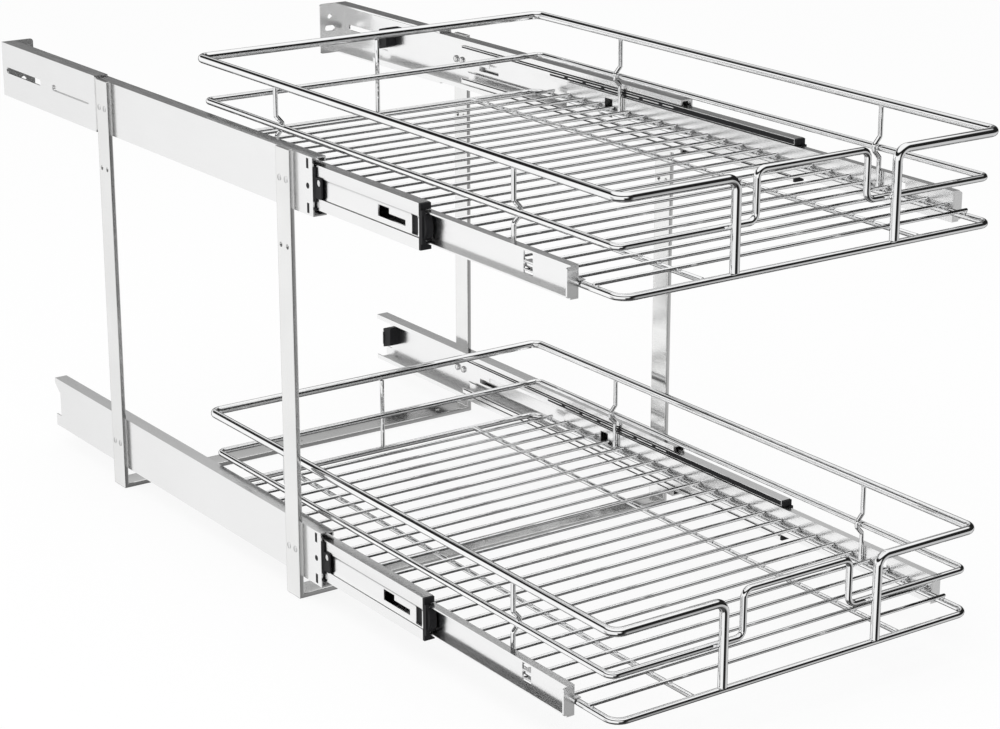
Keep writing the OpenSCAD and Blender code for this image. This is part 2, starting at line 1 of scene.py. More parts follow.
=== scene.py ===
# %% [markdown]
# Two-tier pull-out wire baskets for a kitchen base cabinet.
# The steel frame, the ball-bearing runners and the baskets arrive as plain solids. Each cell below
# makes one kind of piece again, with its rounded bends, edges, rivets, welds and metal finish, and
# hands it to the body that it moves with. Sizes are in millimetres, as on a workshop drawing, and
# at() turns them into Blender's metres.

# %% Load the fixed frame
import json
import math
import bmesh
import bpy
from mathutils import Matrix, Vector


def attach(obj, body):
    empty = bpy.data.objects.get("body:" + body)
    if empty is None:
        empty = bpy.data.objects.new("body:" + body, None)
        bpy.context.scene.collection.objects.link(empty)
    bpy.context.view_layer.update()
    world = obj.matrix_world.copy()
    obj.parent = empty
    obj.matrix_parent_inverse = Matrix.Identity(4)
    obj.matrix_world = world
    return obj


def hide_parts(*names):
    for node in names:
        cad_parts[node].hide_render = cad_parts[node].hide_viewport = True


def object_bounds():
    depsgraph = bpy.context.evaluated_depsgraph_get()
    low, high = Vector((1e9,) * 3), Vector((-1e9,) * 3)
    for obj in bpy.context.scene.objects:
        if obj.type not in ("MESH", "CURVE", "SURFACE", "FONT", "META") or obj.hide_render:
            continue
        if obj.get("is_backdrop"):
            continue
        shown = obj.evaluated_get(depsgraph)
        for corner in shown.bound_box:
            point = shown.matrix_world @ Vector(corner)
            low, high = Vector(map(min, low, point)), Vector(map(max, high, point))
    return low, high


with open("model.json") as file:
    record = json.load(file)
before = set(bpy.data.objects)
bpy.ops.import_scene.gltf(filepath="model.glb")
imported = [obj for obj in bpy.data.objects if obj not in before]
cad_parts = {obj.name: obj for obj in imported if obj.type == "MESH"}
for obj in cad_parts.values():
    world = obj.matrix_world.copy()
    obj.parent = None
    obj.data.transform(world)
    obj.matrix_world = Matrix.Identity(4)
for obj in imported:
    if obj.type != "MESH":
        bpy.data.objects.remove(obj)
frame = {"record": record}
cad_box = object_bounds()
body_of = {node: body for body, nodes in frame["record"]["behaviour"]["bodies"].items() for node in nodes}

# %% [markdown]
# The camera stands left of the unit and a little above it, with a long lens, so that the runners
# look almost parallel. Its place and turn were worked out once from the directions in which the
# wires and straps run to their vanishing points, so they are written down as plain numbers.

# %% Camera
lens = bpy.data.cameras.new("long_lens")
lens.lens = 93.014
lens.sensor_width = 36
lens.clip_end = 60
camera = bpy.data.objects.new("camera", lens)
camera.location = (-1.123776, -1.779909, 0.799968)
camera.rotation_euler = (math.radians(72), 0, math.radians(-34.923))
bpy.context.collection.objects.link(camera)
bpy.context.scene.camera = camera
print("camera", [round(v, 3) for v in camera.location], "lens", lens.lens)

# %% [markdown]
# Chrome has no colour of its own: it shows the room. A product photographer puts white walls round
# it and hangs dark curtains, whose reflections draw the black line that tells a viewer the wire is
# round. The world does the same, by direction only. On the right a curtain hangs from the floor to
# 37 degrees up, for the wires that run across the unit. On the left it is a band from 20 to 39
# degrees up, for the wires that run front to back. Behind the unit the wall is pale grey above a
# darker foot, and everything overhead is white. Each list below is a ramp: pairs of a place and the
# grey found there. The walls' places are heights, 0 at the horizon and 1 straight up. The places of
# RIGHT_SIDE, FAR_SIDE and GROUND are parts of a turn, from the camera's side by way of the right;
# the first two say where each wall stands.

# %% Studio walls seen in the chrome
view_settings = bpy.context.scene.view_settings
view_settings.view_transform = "Standard"
world = bpy.data.worlds.new("studio")
bpy.context.scene.world = world
world.use_nodes = True
nodes, links = world.node_tree.nodes, world.node_tree.links
nodes.clear()


def node(kind, tree_nodes, **settings):
    made = tree_nodes.new(kind)
    for key, value in settings.items():
        setattr(made, key, value)
    return made


LEFT_WALLS = [(0.0, 1.0), (0.29, 1.0), (0.35, 0.02), (0.63, 0.015), (0.66, 0.30), (0.71, 1.0)]
RIGHT_WALLS = [(0.0, 0.015), (0.60, 0.015), (0.66, 0.25), (0.71, 1.0)]
FAR_WALLS = [(0.0, 0.25), (0.15, 0.80), (0.6, 0.80), (0.7, 1.0)]
RIGHT_SIDE = [(0.0, 0.0), (0.06, 0.0), (0.10, 1.0), (0.455, 1.0), (0.475, 0.0), (1.0, 0.0)]
FAR_SIDE = [(0.0, 0.0), (0.455, 0.0), (0.475, 1.0), (0.555, 1.0), (0.58, 0.0), (1.0, 0.0)]
GROUND = [(0.0, 0.95), (0.02, 0.06), (0.04, 0.012), (0.135, 0.012), (0.165, 0.10), (0.20, 0.40),
          (0.225, 0.58), (0.30, 0.66), (0.38, 0.50), (0.45, 0.30), (0.60, 0.35), (0.635, 0.75),
          (0.655, 1.0), (0.725, 1.0), (0.75, 0.55), (0.79, 0.50), (0.82, 0.95)]
direction = node("ShaderNodeTexCoord", nodes).outputs["Generated"]
split = node("ShaderNodeSeparateXYZ", nodes)
links.new(direction, split.inputs[0])


def ramp(stops, value):
    made = node("ShaderNodeValToRGB", nodes)
    elements = made.color_ramp.elements
    elements.remove(elements[0])
    for i, (place, grey) in enumerate(stops):
        stop = elements.new(place) if i else elements[0]
        stop.position = place
        stop.color = (grey, grey, grey, 1)
    links.new(value, made.inputs[0])
    return made.outputs[0]


def blended(colour, other, amount):
    mixed = node("ShaderNodeMix", nodes, data_type="RGBA")
    links.new(amount, mixed.inputs["Factor"])
    links.new(colour, mixed.inputs["A"])
    links.new(other, mixed.inputs["B"])
    return mixed.outputs["Result"]


print("stops on the walls:", len(LEFT_WALLS + RIGHT_WALLS + FAR_WALLS), "on the ground:", len(GROUND))

# %% [markdown]
# Below the horizon the chrome shows the studio floor, whose grey depends on the compass bearing:
# black between the camera and the right, grey on the right and behind the unit, and pale or white
# on the left. The floor gives way to the walls over a soft edge a little below the horizon. Two
# darker places are laid over the floor: straight under the unit, and the far ground just past it,
# which a wire shows along its two outlines.

# %% Floor seen in the chrome, by compass bearing
TOWARDS_CAMERA = (-0.572, -0.820, 0)
TO_THE_RIGHT = (0.820, -0.572, 0)
SOFT_EDGE = (-0.15, -0.09)
STEEP, LESS_STEEP = -0.78, -0.60
STEEP_GREY = 0.06
PAST_THE_UNIT = (0.544, 0.780, -0.309)
PAST_NEAR, PAST_FAR = math.cos(math.radians(45)), math.cos(math.radians(26))
PAST_GREY = 0.08


def part_along(vector):
    dot = node("ShaderNodeVectorMath", nodes, operation="DOT_PRODUCT")
    links.new(direction, dot.inputs[0])
    dot.inputs[1].default_value = vector
    return dot.outputs["Value"]


bearing = node("ShaderNodeMath", nodes, operation="ARCTAN2")
links.new(part_along(TO_THE_RIGHT), bearing.inputs[0])
links.new(part_along(TOWARDS_CAMERA), bearing.inputs[1])
turns = node("ShaderNodeMath", nodes, operation="DIVIDE")
links.new(bearing.outputs[0], turns.inputs[0])
turns.inputs[1].default_value = 2 * math.pi
whole = node("ShaderNodeMath", nodes, operation="FLOORED_MODULO")
links.new(turns.outputs[0], whole.inputs[0])
whole.inputs[1].default_value = 1
height = split.outputs["Z"]
with_right = blended(ramp(LEFT_WALLS, height), ramp(RIGHT_WALLS, height),
                     ramp(RIGHT_SIDE, whole.outputs[0]))
walls = blended(with_right, ramp(FAR_WALLS, height), ramp(FAR_SIDE, whole.outputs[0]))
above = node("ShaderNodeMapRange", nodes)
above.inputs["From Min"].default_value = SOFT_EDGE[0]
above.inputs["From Max"].default_value = SOFT_EDGE[1]
links.new(height, above.inputs["Value"])
room = blended(ramp(GROUND, whole.outputs[0]), walls, above.outputs[0])


def darkened(colour, value, start, end, grey):
    amount = node("ShaderNodeMapRange", nodes, interpolation_type="SMOOTHSTEP")
    amount.inputs["From Min"].default_value = start
    amount.inputs["From Max"].default_value = end
    links.new(value, amount.inputs["Value"])
    mixed = node("ShaderNodeMix", nodes, data_type="RGBA")
    mixed.inputs["B"].default_value = (grey, grey, grey, 1)
    links.new(amount.outputs[0], mixed.inputs["Factor"])
    links.new(colour, mixed.inputs["A"])
    return mixed.outputs["Result"]


straight_down = darkened(room, height, LESS_STEEP, STEEP, STEEP_GREY)
studio = darkened(straight_down, part_along(PAST_THE_UNIT), PAST_NEAR, PAST_FAR, PAST_GREY)
print("dark ground within", round(math.degrees(math.asin(-STEEP))), "to 90 degrees below the horizon")

# %% [markdown]
# The Light Path node says what kind of ray asks. Mirror-like reflections get the studio, matt
# surfaces get plain even light, so that the curtains don't darken them, and the camera gets white,
# like the photographer's paper. A ray that has gone through glass counts as the camera's.

# %% Who sees what
EVEN_LIGHT = 0.85
path = node("ShaderNodeLightPath", nodes)
even = node("ShaderNodeBackground", nodes)
even.inputs["Color"].default_value = (EVEN_LIGHT, EVEN_LIGHT, EVEN_LIGHT, 1)
walls_light = node("ShaderNodeBackground", nodes)
links.new(studio, walls_light.inputs["Color"])
white = node("ShaderNodeBackground", nodes)
white.inputs["Color"].default_value = (1, 1, 1, 1)
glossy = node("ShaderNodeMixShader", nodes)
links.new(path.outputs["Is Glossy Ray"], glossy.inputs[0])
links.new(even.outputs[0], glossy.inputs[1])
links.new(walls_light.outputs[0], glossy.inputs[2])
seen = node("ShaderNodeMath", nodes, operation="MAXIMUM")
links.new(path.outputs["Is Camera Ray"], seen.inputs[0])
links.new(path.outputs["Is Transmission Ray"], seen.inputs[1])
backdrop = node("ShaderNodeMixShader", nodes)
links.new(seen.outputs[0], backdrop.inputs[0])
links.new(glossy.outputs[0], backdrop.inputs[1])
links.new(white.outputs[0], backdrop.inputs[2])
links.new(backdrop.outputs[0], node("ShaderNodeOutputWorld", nodes).inputs["Surface"])
print("world nodes:", len(nodes))

# %% [markdown]
# The floor is a large pale sheet. For the camera it is mostly plain white, so that it runs into the
# backdrop without an edge, and a seventh of it is matt paint that still shows the unit's soft shadow.
# It is kept out of the mirror reflections, because the world already holds the floor that they show.

# %% Floor and soft lamp
PLAIN_WHITE = 0.86
PAINT = 0.92
bpy.ops.object.select_all(action="DESELECT")
bpy.ops.mesh.primitive_plane_add(size=30, location=(0, 0, -0.0004))
floor = bpy.context.object
bpy.ops.object.mode_set(mode="EDIT")
bpy.ops.mesh.subdivide(number_cuts=3)
bpy.ops.object.mode_set(mode="OBJECT")
bpy.ops.object.transform_apply(location=True, rotation=True, scale=True)
floor.name = "floor"
floor.visible_glossy = False
paper = bpy.data.materials.new("white_paper")
paper.use_nodes = True
nodes, links = paper.node_tree.nodes, paper.node_tree.links
nodes.clear()
matt = node("ShaderNodeBsdfDiffuse", nodes)
matt.inputs["Color"].default_value = (PAINT, PAINT, PAINT, 1)
glow = node("ShaderNodeEmission", nodes)
path = node("ShaderNodeLightPath", nodes)
seen = node("ShaderNodeMath", nodes, operation="MAXIMUM")
links.new(path.outputs["Is Camera Ray"], seen.inputs[0])
links.new(path.outputs["Is Transmission Ray"], seen.inputs[1])
share = node("ShaderNodeMath", nodes, operation="MULTIPLY")
links.new(seen.outputs[0], share.inputs[0])
share.inputs[1].default_value = PLAIN_WHITE
sheet = node("ShaderNodeMixShader", nodes)
links.new(share.outputs[0], sheet.inputs[0])
links.new(matt.outputs[0], sheet.inputs[1])
links.new(glow.outputs[0], sheet.inputs[2])
links.new(sheet.outputs[0], node("ShaderNodeOutputMaterial", nodes).inputs["Surface"])
floor.data.materials.append(paper)
floor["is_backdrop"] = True
softbox = bpy.data.lights.new("softbox", "AREA")
softbox.shape = "DISK"
softbox.size = 2.4
softbox.energy = 28
lamp = bpy.data.objects.new("softbox", softbox)
lamp.location = (-1.2, -0.6, 2.6)
lamp.rotation_euler = (Vector((0, 0, 0.2)) - lamp.location).to_track_quat("-Z", "Y").to_euler()
lamp.visible_glossy = False
bpy.context.collection.objects.link(lamp)
print("floor", floor.name, "lamp", softbox.energy, "W")

# %% [markdown]
# The metals. Polished chrome, zinc-plated bar and zinc-plated rail are all mirrors to some degree.
# What tells them apart is how sharp the mirror is and what lies in it: bent wire is drawn and
# polished, so it is sharp with faint long waves; flat bar is rolled, so its grain runs one way;
# rail sheet has a softer shine, with cloudy plating. Each finish is one Principled metal with a slow
# noise for the clouds in its tone, a fine stretched noise for its grain, and a slight bump. Object
# coordinates hold the pattern still on each piece. Seen edge-on, a clean mirror turns white; plating
# stays a little darker there, and so do the rivets, which is what the rim value sets.

# %% Metal finishes
NOISE_LOW, NOISE_HIGH = 0.3, 0.7
BUMP_DEPTH = 0.0001


def metal(name, tones, roughness, grain_scale, waves, bump, stretch=(1, 1, 1), rim=1.0):
    made = bpy.data.materials.new(name + "_finish")
    made.use_nodes = True
    tree, wires = made.node_tree.nodes, made.node_tree.links
    skin = tree["Principled BSDF"]
    skin.inputs["Metallic"].default_value = 1
    skin.inputs["Specular Tint"].default_value = (rim, rim, rim, 1)
    place = node("ShaderNodeTexCoord", tree)
    pull = node("ShaderNodeMapping", tree)
    pull.inputs["Scale"].default_value = stretch
    wires.new(place.outputs["Object"], pull.inputs["Vector"])
    clouds = node("ShaderNodeTexNoise", tree)
    clouds.inputs["Scale"].default_value = waves
    clouds.inputs["Detail"].default_value = 2
    wires.new(place.outputs["Object"], clouds.inputs["Vector"])
    tone = node("ShaderNodeValToRGB", tree)
    tone.color_ramp.elements[0].position = NOISE_LOW
    tone.color_ramp.elements[0].color = (*tones[0], 1)
    tone.color_ramp.elements[1].position = NOISE_HIGH
    tone.color_ramp.elements[1].color = (*tones[1], 1)
    wires.new(clouds.outputs["Fac"], tone.inputs["Fac"])
    wires.new(tone.outputs["Color"], skin.inputs["Base Color"])
    grain = node("ShaderNodeTexNoise", tree)
    grain.inputs["Scale"].default_value = grain_scale
    grain.inputs["Detail"].default_value = 3
    wires.new(pull.outputs["Vector"], grain.inputs["Vector"])
    rough = node("ShaderNodeMapRange", tree)
    rough.inputs["From Min"].default_value = NOISE_LOW
    rough.inputs["From Max"].default_value = NOISE_HIGH
    rough.inputs["To Min"].default_value = roughness[0]
    rough.inputs["To Max"].default_value = roughness[1]
    wires.new(grain.outputs["Fac"], rough.inputs["Value"])
    wires.new(rough.outputs["Result"], skin.inputs["Roughness"])
    lift = node("ShaderNodeBump", tree)
    lift.inputs["Strength"].default_value = bump
    lift.inputs["Distance"].default_value = BUMP_DEPTH
    wires.new(grain.outputs["Fac"], lift.inputs["Height"])
    wires.new(lift.outputs["Normal"], skin.inputs["Normal"])
    return made


chrome_wire = metal("chrome_wire", tones=[(0.90, 0.905, 0.91), (0.96, 0.96, 0.96)],
                    roughness=(0.03, 0.05), grain_scale=260, waves=30, bump=0.006)
plated_bar = metal("plated_bar", tones=[(0.88, 0.88, 0.875), (0.94, 0.94, 0.935)],
                   roughness=(0.13, 0.18), grain_scale=420, waves=18, bump=0.02, stretch=(1, 0.12, 1),
                   rim=0.6)
plated_rail = metal("plated_rail", tones=[(0.95, 0.95, 0.95), (0.97, 0.97, 0.97)],
                    roughness=(0.19, 0.24), grain_scale=380, waves=14, bump=0.015, stretch=(1, 0.1, 1),
                    rim=0.6)
rivet_steel = metal("rivet_steel", tones=[(0.78, 0.78, 0.78), (0.90, 0.90, 0.90)],
                    roughness=(0.06, 0.10), grain_scale=700, waves=120, bump=0.04, rim=0.1)
cage_steel = metal("cage_steel", tones=[(0.50, 0.50, 0.50), (0.62, 0.62, 0.61)],
                   roughness=(0.28, 0.40), grain_scale=500, waves=60, bump=0.06, stretch=(1, 0.2, 1))
ball_steel = metal("ball_steel", tones=[(0.80, 0.80, 0.81), (0.88, 0.88, 0.88)],
                   roughness=(0.04, 0.07), grain_scale=300, waves=90, bump=0.01)
for made in (chrome_wire, plated_bar, plated_rail, rivet_steel, cage_steel, ball_steel):
    print(made.name, len(made.node_tree.nodes), "nodes")

# %% [markdown]
# The stops and guides are moulded from black plastic, with the fine spark-eroded texture of the
# mould. It is a dark matt surface, so its own colour shows and the room hardly does.

# %% Black plastic
black_plastic = bpy.data.materials.new("black_plastic_finish")
black_plastic.use_nodes = True
nodes, links = black_plastic.node_tree.nodes, black_plastic.node_tree.links
skin = nodes["Principled BSDF"]
skin.inputs["IOR"].default_value = 1.46
skin.inputs["Specular IOR Level"].default_value = 0.22
place = node("ShaderNodeTexCoord", nodes)
speck = node("ShaderNodeTexNoise", nodes)
speck.inputs["Scale"].default_value = 1800
speck.inputs["Detail"].default_value = 4
links.new(place.outputs["Object"], speck.inputs["Vector"])
shade = node("ShaderNodeValToRGB", nodes)
shade.color_ramp.elements[0].color = (0.006, 0.006, 0.007, 1)
shade.color_ramp.elements[1].color = (0.022, 0.022, 0.024, 1)
links.new(speck.outputs["Fac"], shade.inputs["Fac"])
links.new(shade.outputs["Color"], skin.inputs["Base Color"])
rough = node("ShaderNodeMapRange", nodes)
rough.inputs["To Min"].default_value = 0.38
rough.inputs["To Max"].default_value = 0.6
links.new(speck.outputs["Fac"], rough.inputs["Value"])
links.new(rough.outputs["Result"], skin.inputs["Roughness"])
lift = node("ShaderNodeBump", nodes)
lift.inputs["Strength"].default_value = 0.25
lift.inputs["Distance"].default_value = BUMP_DEPTH
links.new(speck.outputs["Fac"], lift.inputs["Height"])
links.new(lift.outputs["Normal"], skin.inputs["Normal"])
print("plastic:", black_plastic.name)

# %% [markdown]
# Shared numbers. Every runner is measured from the outer face of its cabinet rail: u is the depth
# inwards from there and v the height from the runner's centre line. x_at() turns a depth into X
# on the right-hand side; the left-hand pieces are mirror copies.

# %% Shared numbers and small tools
MM = 0.001
RAIL_X = 179
TIERS = {"lower": 40.5, "upper": 336.5}


def at(*mm):
    return Vector([value * MM for value in mm])


def x_at(u):
    return RAIL_X - u


def pick(piece):
    bpy.ops.object.select_all(action="DESELECT")
    piece.select_set(True)
    bpy.context.view_layer.objects.active = piece


def settle(piece):
    pick(piece)
    bpy.ops.object.transform_apply(location=True, rotation=True, scale=True)
    return piece


def edit(piece):
    pick(piece)
    bpy.ops.object.mode_set(mode="EDIT")
    bpy.ops.mesh.select_all(action="SELECT")


def done():
    bpy.ops.object.mode_set(mode="OBJECT")


def select_points(piece, test):
    shape = bmesh.from_edit_mesh(piece.data)
    for part in (shape.faces, shape.edges, shape.verts):
        for item in part:
            item.select = False
    for point in shape.verts:
        point.select = bool(test(point.co / MM))
    shape.select_flush(True)
    bmesh.update_edit_mesh(piece.data)


def outwards(piece):
    edit(piece)
    bpy.ops.mesh.remove_doubles(threshold=1e-6)
    bpy.ops.mesh.normals_make_consistent(inside=False)
    done()


def apply_modifier(piece, kind, **settings):
    pick(piece)
    added = piece.modifiers.new(kind.title(), kind)
    for key, value in settings.items():
        setattr(added, key, value)
    bpy.ops.object.modifier_apply(modifier=added.name)


def round_edges(piece, width, segments=2, angle=50):
    apply_modifier(piece, "BEVEL", width=width * MM, segments=segments, limit_method="ANGLE",
                   angle_limit=math.radians(angle), use_clamp_overlap=True)


def block(low, high):
    low, high = at(*low), at(*high)
    bpy.ops.mesh.primitive_cube_add(size=1, location=(low + high) / 2, scale=high - low)
    return settle(bpy.context.object)


def cut(piece, tool, how="DIFFERENCE"):
    apply_modifier(piece, "BOOLEAN", operation=how, solver="EXACT", object=tool)
    bpy.data.objects.remove(tool)


def copy_of(piece, shift=(0, 0, 0), mirrored=False):
    pick(piece)
    bpy.ops.object.duplicate()
    twin = bpy.context.object
    twin.location = at(*shift)
    twin.scale.x = -1 if mirrored else 1
    settle(twin)
    if mirrored:
        outwards(twin)
    return twin


print("runner face at x =", RAIL_X, "mm, tiers at", TIERS)

# %% [markdown]
# A finished piece gets its shading, its metal and its place on a body in one step. Smooth shading
# stops at sharp edges, and a weighted normal keeps each flat face truly flat in the reflection,
# so that only the bends and edges turn the light.

# %% Handing a finished piece over
SHARP_EDGE = 38


def hand_over(piece, node_name, finish, angle=SHARP_EDGE, flat_faces=True):
    settle(piece)
    piece.name = node_name + "_finished"
    piece.data.name = piece.name
    piece.data.materials.clear()
    piece.data.materials.append(finish)
    bpy.ops.object.shade_smooth_by_angle(angle=math.radians(angle))
    if flat_faces:
        apply_modifier(piece, "WEIGHTED_NORMAL", mode="FACE_AREA", weight=50, keep_sharp=True)
    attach(piece, body_of[node_name])
    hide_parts(node_name)
    shape = bmesh.new()
    shape.from_mesh(piece.data)
    loose = sum(1 for edge in shape.edges if len(edge.link_faces) != 2)
    volume = shape.calc_volume() / MM ** 3
    print(f"{piece.name}: {len(shape.faces)} faces, {loose} open edges, {volume:.0f} mm3")
    shape.free()


print("edges sharper than", SHARP_EDGE, "degrees stay sharp")

# %% [markdown]
# Sheet and bar parts are all bent from flat stock: a strip that turns a corner a few times. It is
# made like that here. A plane is the first leg, its end edge is extruded along each further leg,
# the corner edges are rounded with a bevel as the press brake would, and Solidify gives the even
# thickness on both sides of the centre line.

# %% Bending flat stock
SAME_PLACE = 1e-3


def is_at(point, x, z):
    return abs(point.x - x) < SAME_PLACE and abs(point.z - z) < SAME_PLACE


def keep_edges_along_y(piece):
    shape = bmesh.from_edit_mesh(piece.data)
    for edge in shape.edges:
        along = abs(edge.verts[0].co.y - edge.verts[1].co.y) > 1e-4
        edge.select = edge.select and along
    bmesh.update_edit_mesh(piece.data)


def bent_sheet(corners, y0, y1, thick, bend, segments=4):
    (ax, az), (bx, bz) = corners[:2]
    slope = math.atan2(bz - az, bx - ax)
    bpy.ops.mesh.primitive_plane_add(size=1, location=at((ax + bx) / 2, (y0 + y1) / 2, (az + bz) / 2),
                                     rotation=(0, -slope, 0))
    piece = bpy.context.object
    piece.scale = at(math.hypot(bx - ax, bz - az), y1 - y0, 1 / MM)
    settle(piece)
    edit(piece)
    for (px, pz), (qx, qz) in zip(corners[1:], corners[2:]):
        select_points(piece, lambda p: is_at(p, px, pz))
        bpy.ops.mesh.extrude_region_move(TRANSFORM_OT_translate={"value": at(qx - px, 0, qz - pz)})
    select_points(piece, lambda p: any(is_at(p, x, z) for x, z in corners[1:-1]))
    keep_edges_along_y(piece)
    bpy.ops.mesh.bevel(offset=bend * MM, offset_type="OFFSET", segments=segments, affect="EDGES")
    done()
    outwards(piece)
    apply_modifier(piece, "SOLIDIFY", thickness=thick * MM, offset=0, use_even_offset=True)
    return piece


print("corners are found within", SAME_PLACE, "mm")

# %% [markdown]
# Flat plates with a special outline are sawn out: the outline is drawn point by point as a chain
# of edges, filled, and pushed through to the plate's thickness. A rounded rectangle gets each of
# its corners from a quarter circle.

# %% Sawing plates


def rounded(low, high, radius, steps=6):
    centres = [(high[0] - radius, high[1] - radius), (low[0] + radius, high[1] - radius),
               (low[0] + radius, low[1] + radius), (high[0] - radius, low[1] + radius)]
    return [(cx + radius * math.cos(math.pi / 2 * (quarter + i / steps)),
             cz + radius * math.sin(math.pi / 2 * (quarter + i / steps)))
            for quarter, (cx, cz) in enumerate(centres) for i in range(steps + 1)]


def plate(outline, start, end, axis="X"):
    def spot(point, along):
        return at(along, *point) if axis == "X" else at(point[0], along, point[1])

    bpy.ops.mesh.primitive_plane_add(size=MM, location=spot(outline[0], start))
    piece = settle(bpy.context.object)
    edit(piece)
    bpy.ops.mesh.merge(type="CENTER")
    for here, there in zip(outline, outline[1:]):
        bpy.ops.mesh.extrude_region_move(TRANSFORM_OT_translate={"value": spot(there, 0) - spot(here, 0)})
    bpy.ops.mesh.select_all(action="SELECT")
    bpy.ops.mesh.edge_face_add()
    bpy.ops.mesh.extrude_region_move(TRANSFORM_OT_translate={"value": spot((0, 0), end - start)})
    done()
    outwards(piece)
    return piece


print("a corner of a rounded plate takes", len(rounded((0, 0), (10, 10), 2)) // 4, "points")

# %% [markdown]
# Holes are punched after bending. The punch is a cylinder; for a slot its two halves are pulled
# apart in edit mode. The cylinder starts turned by half a facet, so that no point of it lies on
# the line where it is split.

# %% Punching holes
TURN_TO = {"X": (0, math.pi / 2, 0), "Y": (math.pi / 2, 0, 0), "Z": (0, 0, 0)}


def punch(centre, axis, radius, depth, slot=0, way=1, sides=32):
    bpy.ops.mesh.primitive_cylinder_add(vertices=sides, radius=radius * MM, depth=depth * MM,
                                        rotation=(0, 0, math.pi / sides))
    tool = settle(bpy.context.object)
    tool.rotation_euler = TURN_TO[axis]
    settle(tool)
    if slot:
        reach = [0, 0, 0]
        for end in (-1, 1):
            reach[way] = end * slot / 2
            edit(tool)
            select_points(tool, lambda p: p[way] * end > 0)
            bpy.ops.transform.translate(value=at(*reach))
            done()
    tool.location = at(*centre)
    return settle(tool)


print("punches run along", ", ".join(TURN_TO))

# %% [markdown]
# The two straps are 20 x 4 mm flat bar, bent to a U with rounded long edges. They carry pairs of
# rivet holes at each tier, spare pairs for a lower fitting height, and three screw holes in the
# bottom bar.

# %% Frame straps
STRAP_X, STRAP_Y, STRAP_TOP = 181, 149, 360
STRAP_WIDE, STRAP_THICK, STRAP_BEND = 20, 4, 6
HOLE_PAIR, RIVET_R, SPARE_DROP = 4.8, 2, 52
SCREW_X, SCREW_R = 151, 2.4
BAR_Z = STRAP_THICK / 2
strap_path = [(-STRAP_X, STRAP_TOP), (-STRAP_X, BAR_Z), (STRAP_X, BAR_Z), (STRAP_X, STRAP_TOP)]
front_strap = bent_sheet(strap_path, -STRAP_Y - STRAP_WIDE / 2, -STRAP_Y + STRAP_WIDE / 2,
                         STRAP_THICK, STRAP_BEND, segments=8)
round_edges(front_strap, 0.7, segments=3, angle=60)
for z in (TIERS["lower"], TIERS["upper"] - SPARE_DROP, TIERS["upper"]):
    for dy in (-HOLE_PAIR, HOLE_PAIR):
        cut(front_strap, punch((0, -STRAP_Y + dy, z), "X", RIVET_R, 400))
for x in (-SCREW_X, 0, SCREW_X):
    cut(front_strap, punch((x, -STRAP_Y, BAR_Z), "Z", SCREW_R, 8))
rear_strap = copy_of(front_strap, shift=(0, 2 * STRAP_Y, 0))
hand_over(front_strap, "front_strap", plated_bar)
hand_over(rear_strap, "rear_strap", plated_bar)

# %% [markdown]
# A rivet is a turned thing: half of its outline, spun about its own axis. Inside the rail it has a
# head, flat at the front strap and domed at the rear strap; outside the strap its tail is pressed
# into a low dome. Each outline is a list of places along X and the radius there. One rivet of each
# kind is spun and then copied to the eight places of a strap.

# %% Rivets
RIVET_TAIL = [(177.8, 1.98), (183.0, 1.98), (183.0, 2.6), (183.12, 2.56), (183.28, 2.2), (183.37, 1.5),
              (183.4, 0)]
FLAT_HEAD = [(177.2, 0), (177.2, 2.7), (177.3, 3.0), (177.55, 3.2), (177.8, 3.2)]
DOMED_HEAD = [(175.7, 0), (175.72, 1.0), (175.85, 1.9), (176.15, 2.55), (176.6, 2.95), (177.1, 3.15),
              (177.8, 3.2)]


def turned(outline, steps=24):
    bpy.ops.mesh.primitive_plane_add(size=MM, location=at(*outline[0], 0))
    piece = settle(bpy.context.object)
    edit(piece)
    bpy.ops.mesh.merge(type="CENTER")
    for (x0, r0), (x1, r1) in zip(outline, outline[1:]):
        bpy.ops.mesh.extrude_region_move(TRANSFORM_OT_translate={"value": at(x1 - x0, r1 - r0, 0)})
    bpy.ops.mesh.select_all(action="SELECT")
    bpy.ops.mesh.spin(steps=steps, angle=2 * math.pi, center=(0, 0, 0), axis=(1, 0, 0))
    done()
    outwards(piece)
    return piece


def joined(pieces):
    bpy.ops.object.select_all(action="DESELECT")
    for piece in pieces:
        piece.select_set(True)
    bpy.context.view_layer.objects.active = pieces[0]
    bpy.ops.object.join()
    return settle(pieces[0])


def rivet_set(outline, strap_y):
    first = turned(outline)
    row = [copy_of(first, (0, strap_y + dy, z), mirrored) for z in TIERS.values()
           for dy in (-HOLE_PAIR, HOLE_PAIR) for mirrored in (False, True)]
    bpy.data.objects.remove(first)
    return joined(row)


hand_over(rivet_set(FLAT_HEAD + RIVET_TAIL, -STRAP_Y), "front_strap_rivets", rivet_steel, flat_faces=False)
hand_over(rivet_set(DOMED_HEAD + RIVET_TAIL, STRAP_Y), "rear_strap_rivets", rivet_steel, flat_faces=False)

# %% [markdown]
# Each rear bracket is a C of 1.5 mm sheet that slides on the back of the cabinet rail. Two long
# slots let it be set to the depth of the cabinet, and its tab, turned inwards at the end, takes
# the screws of the back wall. The tab's free corners are rounded.

# %% Rear brackets
BRACKET_PATH = [(x_at(11.2), 23.3), (x_at(-0.75), 23.3), (x_at(-0.75), -23.3), (x_at(11.2), -23.3)]
BRACKET_FRONT, BRACKET_REAR, BRACKET_SHEET = 166, 350, 1.5
SIDE_SLOTS, SIDE_SLOT_R = ((178, 249), (272, 342)), 2.7
TAB_X, TAB_HIGH, TAB_CORNER = (150.5, 161.5, 180.45), 24.05, 2.5
TAB_SLOT_R, TAB_SLOT_REACH, TAB_SCREW = 2.75, 5.5, 11.4


